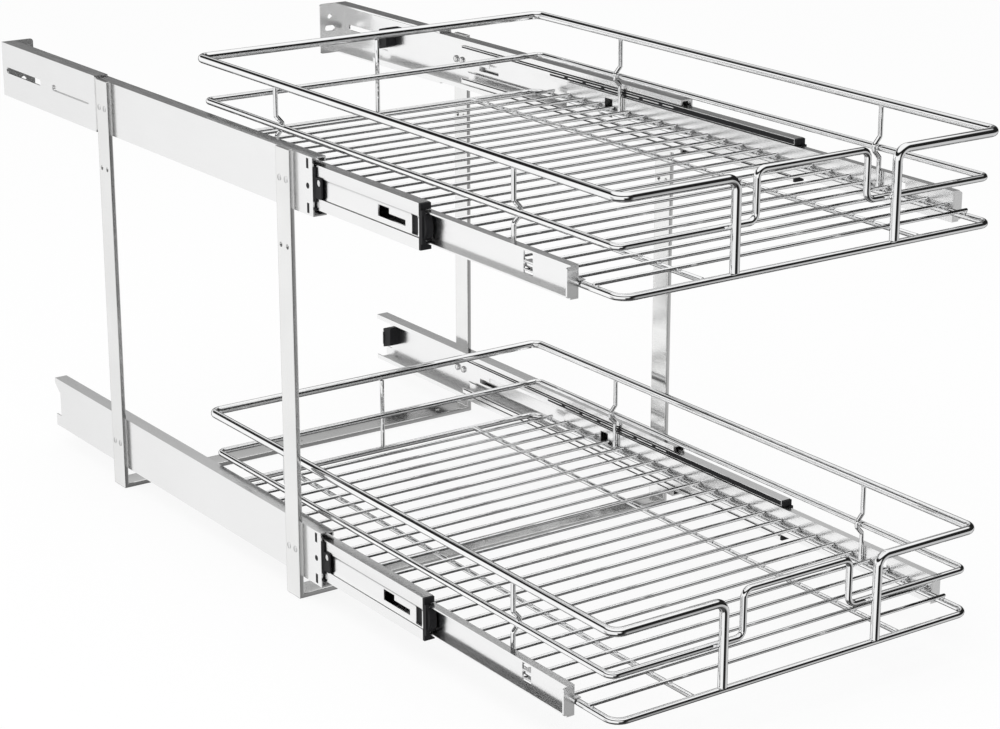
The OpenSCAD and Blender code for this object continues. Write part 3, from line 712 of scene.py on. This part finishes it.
def rear_bracket(z):
    inner, middle, outer = TAB_X
    piece = bent_sheet([(x, v + z) for x, v in BRACKET_PATH], BRACKET_FRONT, BRACKET_REAR, BRACKET_SHEET, 1)
    outline = rounded((inner, z - TAB_HIGH), (outer, z + TAB_HIGH), TAB_CORNER)
    cut(piece, plate(outline, BRACKET_REAR - BRACKET_SHEET, BRACKET_REAR, "Y"), "UNION")
    for y0, y1 in SIDE_SLOTS:
        between = y1 - y0 - 2 * SIDE_SLOT_R
        cut(piece, punch((179.75, (y0 + y1) / 2, z), "X", SIDE_SLOT_R, 6, slot=between, way=1))
    tab_y = BRACKET_REAR - BRACKET_SHEET / 2
    cut(piece, punch((middle, tab_y, z), "Y", TAB_SLOT_R, 6, slot=TAB_SLOT_REACH, way=0))
    for dz in (-TAB_SCREW, TAB_SCREW):
        cut(piece, punch((middle, tab_y, z + dz), "Y", SCREW_R, 6))
    return piece


right_bracket = rear_bracket(TIERS["upper"])
left_bracket = copy_of(right_bracket, mirrored=True)
hand_over(right_bracket, "right_rear_bracket", plated_rail)
hand_over(left_bracket, "left_rear_bracket", plated_rail)

# %% [markdown]
# A runner is three channels, one inside the other. The cabinet rail is the outer one: a C whose
# lips turn back in to hold the balls of the outer race. Its mouth has a round hole and two slots
# for the plastic guide. At the rear end the web is notched, and a steel tab stands across the
# channel to carry the rubber stop. One rail is made and copied to the four places.

# %% Cabinet rails
RAIL_SHEET = 1.2
CABINET_RAIL = [(x_at(11.1), 18.3), (x_at(11.1), 21.9), (x_at(0.6), 21.9),
                (x_at(0.6), -21.9), (x_at(11.1), -21.9), (x_at(11.1), -18.3)]
REAR_NOTCH = [(270.3, -11.8), (281, -11.8), (281, 17.6), (280, 17.6), (272, 10.9), (270.3, 10.9)]
STOP_TAB_Y, STOP_TAB_V = (268, 269.2), (-4.6, 7.5)
MOUTH_Y, MOUTH_HOLE_R = -179, 2.3
SLOT_V, SLOT_HALF_WIDE, SLOT_HALF_HIGH = 17, 1.65, 3.85
WEB_X, INSIDE_X, OUTSIDE_X = 178.4, 176.6, 181


def to_all_runners(piece, node_end, finish, **options):
    for tier, z in TIERS.items():
        for side in ("right", "left"):
            rail = copy_of(piece, (0, 0, z), mirrored=side == "left")
            hand_over(rail, f"{tier}_{side}_{node_end}", finish, **options)
    bpy.data.objects.remove(piece)


cabinet_rail = bent_sheet(CABINET_RAIL, -186, 280, RAIL_SHEET, 1.5)
stop_tab = block((x_at(12.8), STOP_TAB_Y[0], STOP_TAB_V[0]), (x_at(0.6), STOP_TAB_Y[1], STOP_TAB_V[1]))
cut(cabinet_rail, stop_tab, "UNION")
for strap_y in (-STRAP_Y, STRAP_Y):
    for dy in (-HOLE_PAIR, HOLE_PAIR):
        cut(cabinet_rail, punch((WEB_X, strap_y + dy, 0), "X", RIVET_R, 6))
cut(cabinet_rail, punch((WEB_X, MOUTH_Y, 0), "X", MOUTH_HOLE_R, 6))
for v in (-SLOT_V, SLOT_V):
    cut(cabinet_rail, block((INSIDE_X, MOUTH_Y - SLOT_HALF_WIDE, v - SLOT_HALF_HIGH),
                            (OUTSIDE_X, MOUTH_Y + SLOT_HALF_WIDE, v + SLOT_HALF_HIGH)))
cut(cabinet_rail, plate(REAR_NOTCH, INSIDE_X, OUTSIDE_X))
to_all_runners(cabinet_rail, "cabinet_rail", plated_rail)

# %% [markdown]
# The plastic guide clips into the rail's mouth: pegs fill the hole and the slots from behind, a
# thin plate joins them, and a pad reaches out in front and carries a small steel eyelet. The
# rubber stop at the back is a block that hooks over the two edges of the steel tab behind it.

# %% Mouth guides, eyelets and rear bumpers
BUMPER = [(257, -4.3), (257, 13.8), (270, 10.6), (270, 7.6), (267.9, 7.6), (267.9, -4.7), (270, -4.7),
          (270, -8.4)]
EYELET_Y, EYELET_V, EYELET_SEAT_R = -191.7, 4, 2.7
EYELET = [(x_at(2.1), 0), (x_at(2.1), 2.55), (x_at(1.75), 2.6), (x_at(1.5), 2.2), (x_at(1.4), 1.2),
          (x_at(1.38), 0)]
PAD_LOW, PAD_HIGH, PAD_CORNER = (-196.5, -8), (-176, 8), 2
PLATE_TOP, PLATE_FOOT, FOOT_TOP, HEAD_FOOT = 15.1, -17.6, -15.6, -11.3
PLATE_Y, FRONT_STRIP_Y = (-186.01, -173), (-188, -185.5)
PEG_R, PEG_HALF_WIDE, PEG_HALF_HIGH = 2.2, 1.55, 3.75


def four_places(piece):
    row = [copy_of(piece, (0, 0, z), mirrored) for z in TIERS.values() for mirrored in (False, True)]
    bpy.data.objects.remove(piece)
    return joined(row)


pad = plate(rounded(PAD_LOW, PAD_HIGH, PAD_CORNER), x_at(2.6), x_at(1.2))
cut(pad, punch((x_at(1.2), EYELET_Y, EYELET_V), "X", EYELET_SEAT_R, 1.2))
round_edges(pad, 0.3, segments=2)
backing = block((x_at(2.3), PLATE_Y[0], PLATE_FOOT), (x_at(1.21), PLATE_Y[1], PLATE_TOP))
for low, high in ((HEAD_FOOT, PLATE_TOP), (PLATE_FOOT, FOOT_TOP)):
    strip = block((x_at(2.29), FRONT_STRIP_Y[0], low), (x_at(1.22), FRONT_STRIP_Y[1], high))
    cut(backing, strip, "UNION")
pegs = [punch((x_at(1.25), MOUTH_Y, 0), "X", PEG_R, 1.9)]
for v in (-SLOT_V, SLOT_V):
    pegs.append(block((x_at(2.2), MOUTH_Y - PEG_HALF_WIDE, v - PEG_HALF_HIGH),
                      (x_at(0.3), MOUTH_Y + PEG_HALF_WIDE, v + PEG_HALF_HIGH)))
for part in [backing] + pegs:
    round_edges(part, 0.2, segments=2)
hand_over(four_places(joined([pad, backing] + pegs)), "rail_mouth_guides", black_plastic)
eyelet = turned(EYELET)
eyelets = four_places(copy_of(eyelet, (0, EYELET_Y, EYELET_V)))
bpy.data.objects.remove(eyelet)
eyelets.name = "guide_eyelets_finished"
eyelets.data.materials.append(rivet_steel)
pick(eyelets)
bpy.ops.object.shade_smooth_by_angle(angle=math.radians(50))
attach(eyelets, body_of["rail_mouth_guides"])
print(eyelets.name, len(eyelets.data.polygons), "faces")
bumper = plate(BUMPER, x_at(11.4), x_at(1.2))
round_edges(bumper, 0.7, segments=3)
hand_over(four_places(bumper), "rail_rear_bumpers", black_plastic)

# %% [markdown]
# The middle rail is the moving bridge of the runner. Its web steps back on a slant between two
# raised strips, with a small ledge half-way along the lower slant, which stiffens it and gives the
# plastic parts room, and its lips hold the inner race. Near each end an L-shaped window is left
# where the catch tongues were punched out, and the tongue of the front stop shows through a wide
# window of its own.

# %% Middle rails
LIP_X, STRIP_X, BACK_X, LEDGE_X = x_at(11.3), x_at(3.2), x_at(4.5), x_at(4.1)
MIDDLE_RAIL = [(LIP_X, 12.3), (LIP_X, 16.4), (STRIP_X, 16.4), (STRIP_X, 8.5), (BACK_X, 5.7), (BACK_X, -5.2),
               (LEDGE_X, -7.65), (STRIP_X, -8.5), (STRIP_X, -16.4), (LIP_X, -16.4), (LIP_X, -12.3)]
WINDOWS = [(-305.5, -269.7, -284.3), (111, 81, 96)]
WINDOW_FOOT, NARROW_TOP, WIDE_TOP = -3.9, 0.6, 4.7
TONGUE_WINDOW_Y, TONGUE_WINDOW_V = (-321.7, -313.9), 7.2

middle_rail = bent_sheet(MIDDLE_RAIL, -324.5, 130, RAIL_SHEET, 0.61, segments=3)
for outer, inner, step in WINDOWS:
    for y0, y1, top in ((outer, inner, NARROW_TOP), (step, inner, WIDE_TOP)):
        cut(middle_rail, block((172, min(y0, y1), WINDOW_FOOT), (177, max(y0, y1), top)))
cut(middle_rail, block((172, TONGUE_WINDOW_Y[0], -TONGUE_WINDOW_V),
                       (178, TONGUE_WINDOW_Y[1], TONGUE_WINDOW_V)))
to_all_runners(middle_rail, "middle_rail", plated_rail)

# %% [markdown]
# The lips of the inner race lie in shade on the side that faces the basket, and that shade is painted
# on: thin sheets in the nearly black plastic finish, so thin that only 0.04 mm of each stands out of the
# steel. A bright line of bare steel is left along the upper lip, broken by a painted dark mark at every
# ball. The upper lip is covered whole in front, round the bare line further back, and along its top
# behind that; a strip of painted shade also runs the whole length of the lower lip.

# %% Painted shade on the inner race
# Where the painted shade lies: depth, length and height of the dark sheets, and the bare bright line left
# between them.
SHADE_SHEET_U, SHADE_SHEET_Y, SHADE_SHEET_V = (11.94, 11.88), (-324, 129), (12.6, 16.5)
BARE_LINE_Y, BARE_LINE_V, REAR_V = (-176, -6), (14.2, 15), 15.2
LOWER_SHADE_SHEET_V = (-13.8, -12.6)
BALL_PITCH, FIRST_BALL, BALL_GAP = 26, 14, 5


def shade_sheet(y0, y1, v0, v1):
    return block((x_at(SHADE_SHEET_U[0]), y0, v0), (x_at(SHADE_SHEET_U[1]), y1, v1))


def painted_shade():
    strips = [(SHADE_SHEET_Y[0], BARE_LINE_Y[0], *SHADE_SHEET_V), (BARE_LINE_Y[1], SHADE_SHEET_Y[1], REAR_V, SHADE_SHEET_V[1]),
              (*BARE_LINE_Y, SHADE_SHEET_V[0], BARE_LINE_V[0]), (*BARE_LINE_Y, BARE_LINE_V[1], SHADE_SHEET_V[1])]
    balls = range(BARE_LINE_Y[0] + FIRST_BALL, BARE_LINE_Y[1], BALL_PITCH)
    strips += [(y, y + BALL_GAP, *BARE_LINE_V) for y in balls]
    return joined([shade_sheet(*strip) for strip in strips + [(*SHADE_SHEET_Y, *LOWER_SHADE_SHEET_V)]])


race_shade = painted_shade()
for tier, z in TIERS.items():
    pair = joined([copy_of(race_shade, (0, 0, z)), copy_of(race_shade, (0, 0, z), mirrored=True)])
    pair.name = f"{tier}_race_grease_finished"
    pair.data.materials.clear()
    # The painted shade borrows the black plastic finish.
    pair.data.materials.append(black_plastic)
    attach(pair, body_of[f"{tier}_right_middle_rail"])
    print(pair.name, len(pair.data.polygons), "faces")
bpy.data.objects.remove(race_shade)

# %% [markdown]
# The stop on the front of a middle rail is one moulding: a plug with an ear in the upper and the
# lower corner of the channel, a bar that joins them, a rounded nose that reaches into the basket
# rail, and a tongue that lies behind the web. The bar, ears and plugs are blocks, the nose is a
# slice of a cylinder and the tongue is a rounded plate. Each has its edges softened, and they are
# joined into one piece.

# %% Middle rail stops
BAR_Y, BAR_HALF_HIGH = (-328.5, -324.5), 12.2
EAR_FOOT, EAR_TOP, PLUG_TOP = 12.1, 16.8, 15.7
NOSE_Y, NOSE_R, NOSE_HALF_HIGH = -317.5, 14.5, 9.4
TONGUE_LOW, TONGUE_HIGH, TONGUE_CORNER = (-325.5, -7.4), (-311, 7.4), 0.8


def cap():
    piece = block((x_at(5.85), BAR_Y[0], -BAR_HALF_HIGH), (x_at(2.8), BAR_Y[1], BAR_HALF_HIGH))
    for end in (-1, 1):
        lower, upper = sorted((end * EAR_FOOT, end * EAR_TOP))
        cut(piece, block((x_at(11.7), -326.5, lower), (x_at(2.81), -324.52, upper)), "UNION")
    round_edges(piece, 0.6, segments=3, angle=60)
    return piece


def plug(end):
    lower, upper = sorted((end * EAR_FOOT, end * PLUG_TOP))
    piece = block((x_at(10.6), -325.5, lower), (x_at(3.9), -314, upper))
    round_edges(piece, 0.4, segments=2)
    return piece


def nose():
    piece = punch((x_at(7.1), NOSE_Y, 0), "X", NOSE_R, 6.4, sides=64)
    front = block((x_at(11), -344, -NOSE_HALF_HIGH), (x_at(3), -327, NOSE_HALF_HIGH))
    cut(piece, front, "INTERSECT")
    round_edges(piece, 0.8, segments=3)
    return piece


def tongue():
    piece = plate(rounded(TONGUE_LOW, TONGUE_HIGH, TONGUE_CORNER), x_at(5.85), x_at(5.2))
    round_edges(piece, 0.15, segments=2)
    return piece


right_cap = joined([cap(), plug(1), plug(-1), nose(), tongue()])
for tier, z in TIERS.items():
    pair = [copy_of(right_cap, (0, 0, z)), copy_of(right_cap, (0, 0, z), mirrored=True)]
    hand_over(joined(pair), f"{tier}_middle_rail_caps", black_plastic)
bpy.data.objects.remove(right_cap)

# %% [markdown]
# Between the channels run the balls, each in a pocket of a thin steel cage that is folded over the
# upper and the lower race. The cage is a bent strip, its pockets are drilled through both folds at
# once, and the middle is punched out.

# %% Ball cages
OUTER_RACE = {"depth": 5, "v": 19.15, "span": (-136, 63), "count": 12}
INNER_RACE = {"depth": 8, "v": 13.65, "span": (-266, -97), "count": 10}
CAGE_SHEET, CAGE_END, POCKET_R = 0.4, 8, 2.15


def ball_places(span, count):
    step = (span[1] - span[0] - 2 * CAGE_END) / (count - 1)
    return [span[0] + CAGE_END + i * step for i in range(count)]


def cage(web_depth, edge_depth, depth, v, span, count):
    web, edge = x_at(web_depth + CAGE_SHEET / 2), x_at(edge_depth)
    piece = bent_sheet([(edge, v), (web, v), (web, -v), (edge, -v)], *span, CAGE_SHEET, 0.4, segments=3)
    for y in ball_places(span, count):
        cut(piece, punch((x_at(depth), y, 0), "Z", POCKET_R, 2 * v + 2, sides=20))
    cut(piece, block((x_at(web_depth + 1), span[0] + CAGE_END, -7),
                     (x_at(web_depth - 1), span[1] - CAGE_END, 7)))
    return piece


to_all_runners(cage(1.95, 7.55, **OUTER_RACE), "outer_cage", cage_steel)
to_all_runners(cage(5.3, 10.5, **INNER_RACE), "inner_cage", cage_steel)

# %% [markdown]
# The balls are ground and polished. Each is turned, a half circle spun about its axis, and has few
# faces, because there are 176 of them. The balls of one race are joined into one piece for each
# tier, because they slide together.

# %% Balls
BALL_R, FACETS = 2.05, 6
half_circle = [(-BALL_R * math.cos(math.pi * i / FACETS), BALL_R * math.sin(math.pi * i / FACETS))
               for i in range(FACETS + 1)]
ball = turned(half_circle, steps=10)


def ball_row(depth, v, span, count, z):
    row = [copy_of(ball, (side * x_at(depth), y, z + end * v)) for side in (-1, 1) for end in (-1, 1)
           for y in ball_places(span, count)]
    return joined(row)


for tier, z in TIERS.items():
    for name, race in (("outer", OUTER_RACE), ("inner", INNER_RACE)):
        hand_over(ball_row(z=z, **race), f"{tier}_{name}_balls", ball_steel, angle=180, flat_faces=False)
bpy.data.objects.remove(ball)

# %% [markdown]
# The basket rail is the innermost channel, with its back to the basket. Its front end is closed by
# a small flange, a hook there and two pairs of clips reach round the bottom wire of the basket, and
# the web is open where the clips were punched out of it. The clips are small bent strips.

# %% Basket rails
BASKET_RAIL = [(x_at(6.2), 10.9), (x_at(12.1), 10.9), (x_at(12.1), -10.9), (x_at(6.2), -10.9)]
BASKET_RAIL_Y = (-497, -32)
CLIP_Y, CLIP_WIDE = (-448, -96.2), 10.5
CLIP_ROOT, CLIP_BEND, CLIP_TIP, CLIP_SHEET = 167.2, 161.4, 160.55, 1
RING_TOP, RING_LOW = -0.15, -5.05
FLANGE_THICK, FLANGE_HALF_HIGH, HOOK_WIDE = 1.5, 10.25, 3.5


def clip(y0, y1, level, way):
    mid = level + way * CLIP_SHEET / 2
    path = [(CLIP_ROOT, mid), (CLIP_BEND, mid), (CLIP_TIP, mid - way * CLIP_SHEET / 2)]
    piece = bent_sheet(path, y0, y1, CLIP_SHEET, 0.4, segments=3)
    round_edges(piece, 0.25, segments=2, angle=60)
    return piece


front = BASKET_RAIL_Y[0]
basket_rail = bent_sheet(BASKET_RAIL, *BASKET_RAIL_Y, RAIL_SHEET, 0.8)
for y in CLIP_Y:
    cut(basket_rail, block((165, y, -8), (169, y + CLIP_WIDE, 7.5)))
flange = block((x_at(11.6), front, -FLANGE_HALF_HIGH), (x_at(3.6), front + FLANGE_THICK, FLANGE_HALF_HIGH))
edit(flange)
select_points(flange, lambda p: p.x > 175)
keep_edges_along_y(flange)
bpy.ops.mesh.bevel(offset=1.5 * MM, segments=4, affect="EDGES")
done()
clips = [clip(y, y + CLIP_WIDE, level, way) for y in CLIP_Y for level, way in ((RING_TOP, 1), (RING_LOW, -1))]
hook = clip(front, front + HOOK_WIDE, RING_TOP, 1)
to_all_runners(joined([basket_rail, flange, hook] + clips), "basket_rail", plated_rail)

# %% [markdown]
# Bent wire. A circle is the wire's section. It is extruded along each straight run and spun round
# each corner, about a centre that lies one bend radius inside. The operator turns against the
# right-hand rule here, so the angle is negative. A closed ring starts in the middle of its first
# run and is merged there; an open wire gets its two ends filled.

# %% Bending wire
WIRE_SIDES = 28


def bent_wire(corners, bend, radius, closed=True, sides=WIRE_SIDES, steps=8):
    path = [at(*corner) for corner in corners]
    count = len(path)
    here = path[0].lerp(path[1], 0.5) if closed else path[0]
    heading = (path[1] - path[0]).normalized()
    start = here.copy()
    bpy.ops.mesh.primitive_circle_add(vertices=sides, radius=radius * MM, fill_type="NOTHING",
                                      location=here, rotation=heading.to_track_quat("Z", "Y").to_euler())
    piece = settle(bpy.context.object)
    edit(piece)
    turns = [*range(1, count), 0] if closed else range(1, count - 1)
    for i in turns:
        before = (path[i] - path[i - 1]).normalized()
        after = (path[(i + 1) % count] - path[i]).normalized()
        angle = before.angle(after)
        setback = bend * MM * math.tan(angle / 2)
        run = path[i] - before * setback - here
        bpy.ops.mesh.extrude_region_move(TRANSFORM_OT_translate={"value": run})
        axis = before.cross(after).normalized()
        centre = path[i] - before * setback + axis.cross(before) * bend * MM
        bpy.ops.mesh.spin(steps=steps, angle=-angle, center=centre, axis=axis)
        here = path[i] + after * setback
    last = start if closed else path[-1]
    bpy.ops.mesh.extrude_region_move(TRANSFORM_OT_translate={"value": last - here})
    done()
    if not closed:
        for end in (path[0], last):
            edit(piece)
            select_points(piece, lambda p: (p * MM - end).length < 1.01 * radius * MM)
            bpy.ops.mesh.edge_face_add()
            done()
    outwards(piece)
    return piece


def straight_wire(start, length, axis, radius, sides=14, end_bevel=0.35):
    centre = list(start)
    centre["XYZ".index(axis)] += length / 2
    piece = punch(centre, axis, radius, length, sides=sides)
    round_edges(piece, end_bevel, segments=2, angle=60)
    return piece


print("a bent wire's section has", WIRE_SIDES, "sides")

# %% [markdown]
# Where two wires cross they are resistance-welded: current melts a small bead between them. A bead
# is a turned almond with few faces, because a basket has more than a hundred, and it is copied to
# each crossing. It sits low in the corner between the wires, where only its rim shows.

# %% Weld beads
ALMOND = [(-1, 0), (-0.75, 0.62), (-0.2, 0.98), (0.35, 0.92), (0.8, 0.5), (1, 0)]


def beads(places, size):
    first = turned(ALMOND, steps=8)
    first.scale = size
    settle(first)
    row = [copy_of(first, place) for place in places]
    bpy.data.objects.remove(first)
    return row


print("a bead's outline has", len(ALMOND), "points")

# %% [markdown]
# A basket is welded from six kinds of wire. The thick top wire runs round the sides and the back
# and dips down in front; the middle wire runs all round and rises into a handle between the dips;
# and the bottom wire carries the floor. Every height is measured from the centre of that bottom
# wire, which is the base.

# %% Basket rings
RIM_X, RING_X, DIP_X, HANDLE_X = 165, 163, 70.6, 48.7
RIM_FRONT, RIM_REAR, RING_FRONT, RING_REAR = -538.5, 9, -532.7, 2.7
BOTTOM_FRONT, BOTTOM_REAR = -538, 7
RIM_R, RING_R = 3.4, 2.5
RIM_BEND, RING_BEND, BOTTOM_BEND = 8, 6, 10
RIM_TOP, RIM_FOOT, MIDDLE_HIGH, HANDLE_HIGH = 66, 2.4, 32.4, 67.4
FOOT_BEAD, CROSSING_BEAD = (4.2, 2.6, 1.2), (2.6, 1.1, 2.8)


def basket_rim(base):
    top, foot = base + RIM_TOP, base + RIM_FOOT
    corners = [(-DIP_X, RIM_FRONT, foot), (-DIP_X, RIM_FRONT, top), (-RIM_X, RIM_FRONT, top),
               (-RIM_X, RIM_REAR, top), (RIM_X, RIM_REAR, top), (RIM_X, RIM_FRONT, top),
               (DIP_X, RIM_FRONT, top), (DIP_X, RIM_FRONT, foot)]
    wire = bent_wire(corners, RIM_BEND, RIM_R, closed=False, sides=32, steps=10)
    feet = beads([(x, RIM_FRONT, foot + 0.4) for x in (-DIP_X, DIP_X)], FOOT_BEAD)
    return joined([wire] + feet)


def middle_ring(base):
    z, handle = base + MIDDLE_HIGH, base + HANDLE_HIGH
    corners = [(-RING_X, RING_FRONT, z), (-RING_X, RING_REAR, z), (RING_X, RING_REAR, z),
               (RING_X, RING_FRONT, z), (HANDLE_X, RING_FRONT, z), (HANDLE_X, RING_FRONT, handle),
               (-HANDLE_X, RING_FRONT, handle), (-HANDLE_X, RING_FRONT, z)]
    wire = bent_wire(corners, RING_BEND, RING_R)
    spots = beads([(x, RING_FRONT - RING_R, z) for x in (-DIP_X, DIP_X)], CROSSING_BEAD)
    return joined([wire] + spots)


def bottom_ring(base):
    corners = [(-RING_X, BOTTOM_FRONT, base), (-RING_X, BOTTOM_REAR, base),
               (RING_X, BOTTOM_REAR, base), (RING_X, BOTTOM_FRONT, base)]
    return bent_wire(corners, BOTTOM_BEND, RING_R)


print("outside width over the top wire:", 2 * (RIM_X + RIM_R), "mm")

# %% [markdown]
# Thin uprights tie the three rings together and step inwards round the middle wire, two on each
# side and a straight one at the back. The floor is 25 cross wires laid on the bottom wire, with two
# long supports under them. The straight wires are cylinders with softened ends. Rows of beads weld
# the side uprights, the supports and the floor.

# %% Uprights, supports and floor wires
UPRIGHT_X, UPRIGHT_Y, UPRIGHT_R, UPRIGHT_TOP = 164.2, (-421.5, -109), 1.8, 62.7
UPRIGHT_STEP, STEP_STARTS, STEP_ENDS, STEP_BEND = 5.4, 8, 2, 2.4
REAR_UPRIGHT_Y, REAR_UPRIGHT_HIGH = 6.9, 60.3
SUPPORT_X, SUPPORT_R, SUPPORT_FRONT, SUPPORT_LONG, SUPPORT_Z = 95, 2, -535.6, 540.2, 0.5
FLOOR_R, FLOOR_END, FLOOR_FRONT, FLOOR_PITCH, FLOOR_Z = 1.4, 165.5, -512, 20.7, 3.85
FLOOR_Y = [FLOOR_FRONT + FLOOR_PITCH * i for i in range(25)]
END_BEAD, END_BEAD_IN = (1.9, 2.3, 1.0), 0.3
STEP_BEAD, STEP_BEAD_X = (0.8, 2.0, 2.2), 160.4
SUPPORT_BEAD, SUPPORT_BEAD_Z = (1.3, 1.6, 0.6), 2.5
FLOOR_BEAD, FLOOR_BEAD_Z = (1.7, 2.0, 0.9), 2.7


def uprights(base):
    x, foot, top, mid = UPRIGHT_X, base + RIM_FOOT, base + UPRIGHT_TOP, base + MIDDLE_HIGH
    pieces = []
    for y in UPRIGHT_Y:
        corners = [(x, y, foot), (x, y, mid - STEP_STARTS), (x - UPRIGHT_STEP, y, mid - STEP_ENDS),
                   (x - UPRIGHT_STEP, y, mid + STEP_ENDS), (x, y, mid + STEP_STARTS), (x, y, top)]
        wire = bent_wire(corners, STEP_BEND, UPRIGHT_R, closed=False, sides=20, steps=5)
        pieces += [wire, copy_of(wire, mirrored=True)]
    pieces.append(straight_wire((0, REAR_UPRIGHT_Y, foot), REAR_UPRIGHT_HIGH, "Z", UPRIGHT_R,
                                sides=20, end_bevel=0.1))
    pieces += beads([(side * STEP_BEAD_X, y, mid) for side in (-1, 1) for y in UPRIGHT_Y], STEP_BEAD)
    for z in (foot + END_BEAD_IN, top - END_BEAD_IN):
        pieces += beads([(side * x, y, z) for side in (-1, 1) for y in UPRIGHT_Y], END_BEAD)
    return joined(pieces)


def supports(base):
    wires = [straight_wire((x, SUPPORT_FRONT, base + SUPPORT_Z), SUPPORT_LONG, "Y", SUPPORT_R,
                           sides=20, end_bevel=0.1) for x in (-SUPPORT_X, SUPPORT_X)]
    places = [(x, y, base + SUPPORT_BEAD_Z) for x in (-SUPPORT_X, SUPPORT_X) for y in FLOOR_Y]
    spots = beads(places, SUPPORT_BEAD)
    return joined(wires + spots)


def floor_wires(base):
    first = straight_wire((-FLOOR_END, FLOOR_FRONT, base + FLOOR_Z), 2 * FLOOR_END, "X", FLOOR_R)
    wires = [first] + [copy_of(first, (0, y - FLOOR_FRONT, 0)) for y in FLOOR_Y[1:]]
    places = [(x, y, base + FLOOR_BEAD_Z) for x in (-RING_X, RING_X) for y in FLOOR_Y]
    spots = beads(places, FLOOR_BEAD)
    return joined(wires + spots)


print("floor wires:", len(FLOOR_Y), "from", FLOOR_Y[0], "to", round(FLOOR_Y[-1], 1), "mm")

# %% [markdown]
# The two baskets are the same, one above the other. Each kind of wire is its own piece, as it is
# before it is welded, and all six kinds of a basket ride on that basket's body.

# %% Both baskets
BELOW_THE_RUNNER = 2.6

for tier, z in TIERS.items():
    base = z - BELOW_THE_RUNNER
    for make, part in ((basket_rim, "rim"), (middle_ring, "middle_ring"), (bottom_ring, "bottom_ring"),
                       (uprights, "uprights"), (supports, "supports"), (floor_wires, "floor")):
        hand_over(make(base), f"{tier}_basket_{part}", chrome_wire, flat_faces=False)

# %% [markdown]
# Last, the box of the finished unit is printed beside the box that it started from. The finish may
# not make the unit any bigger, so the two should agree within a fraction of a millimetre.

# %% Print the two boxes
visual_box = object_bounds()
boxes = {"cad": [list(corner) for corner in cad_box], "visual": [list(corner) for corner in visual_box]}
for name, (low, high) in boxes.items():
    print(name, [round(v * 1000, 2) for v in low], [round(v * 1000, 2) for v in high])
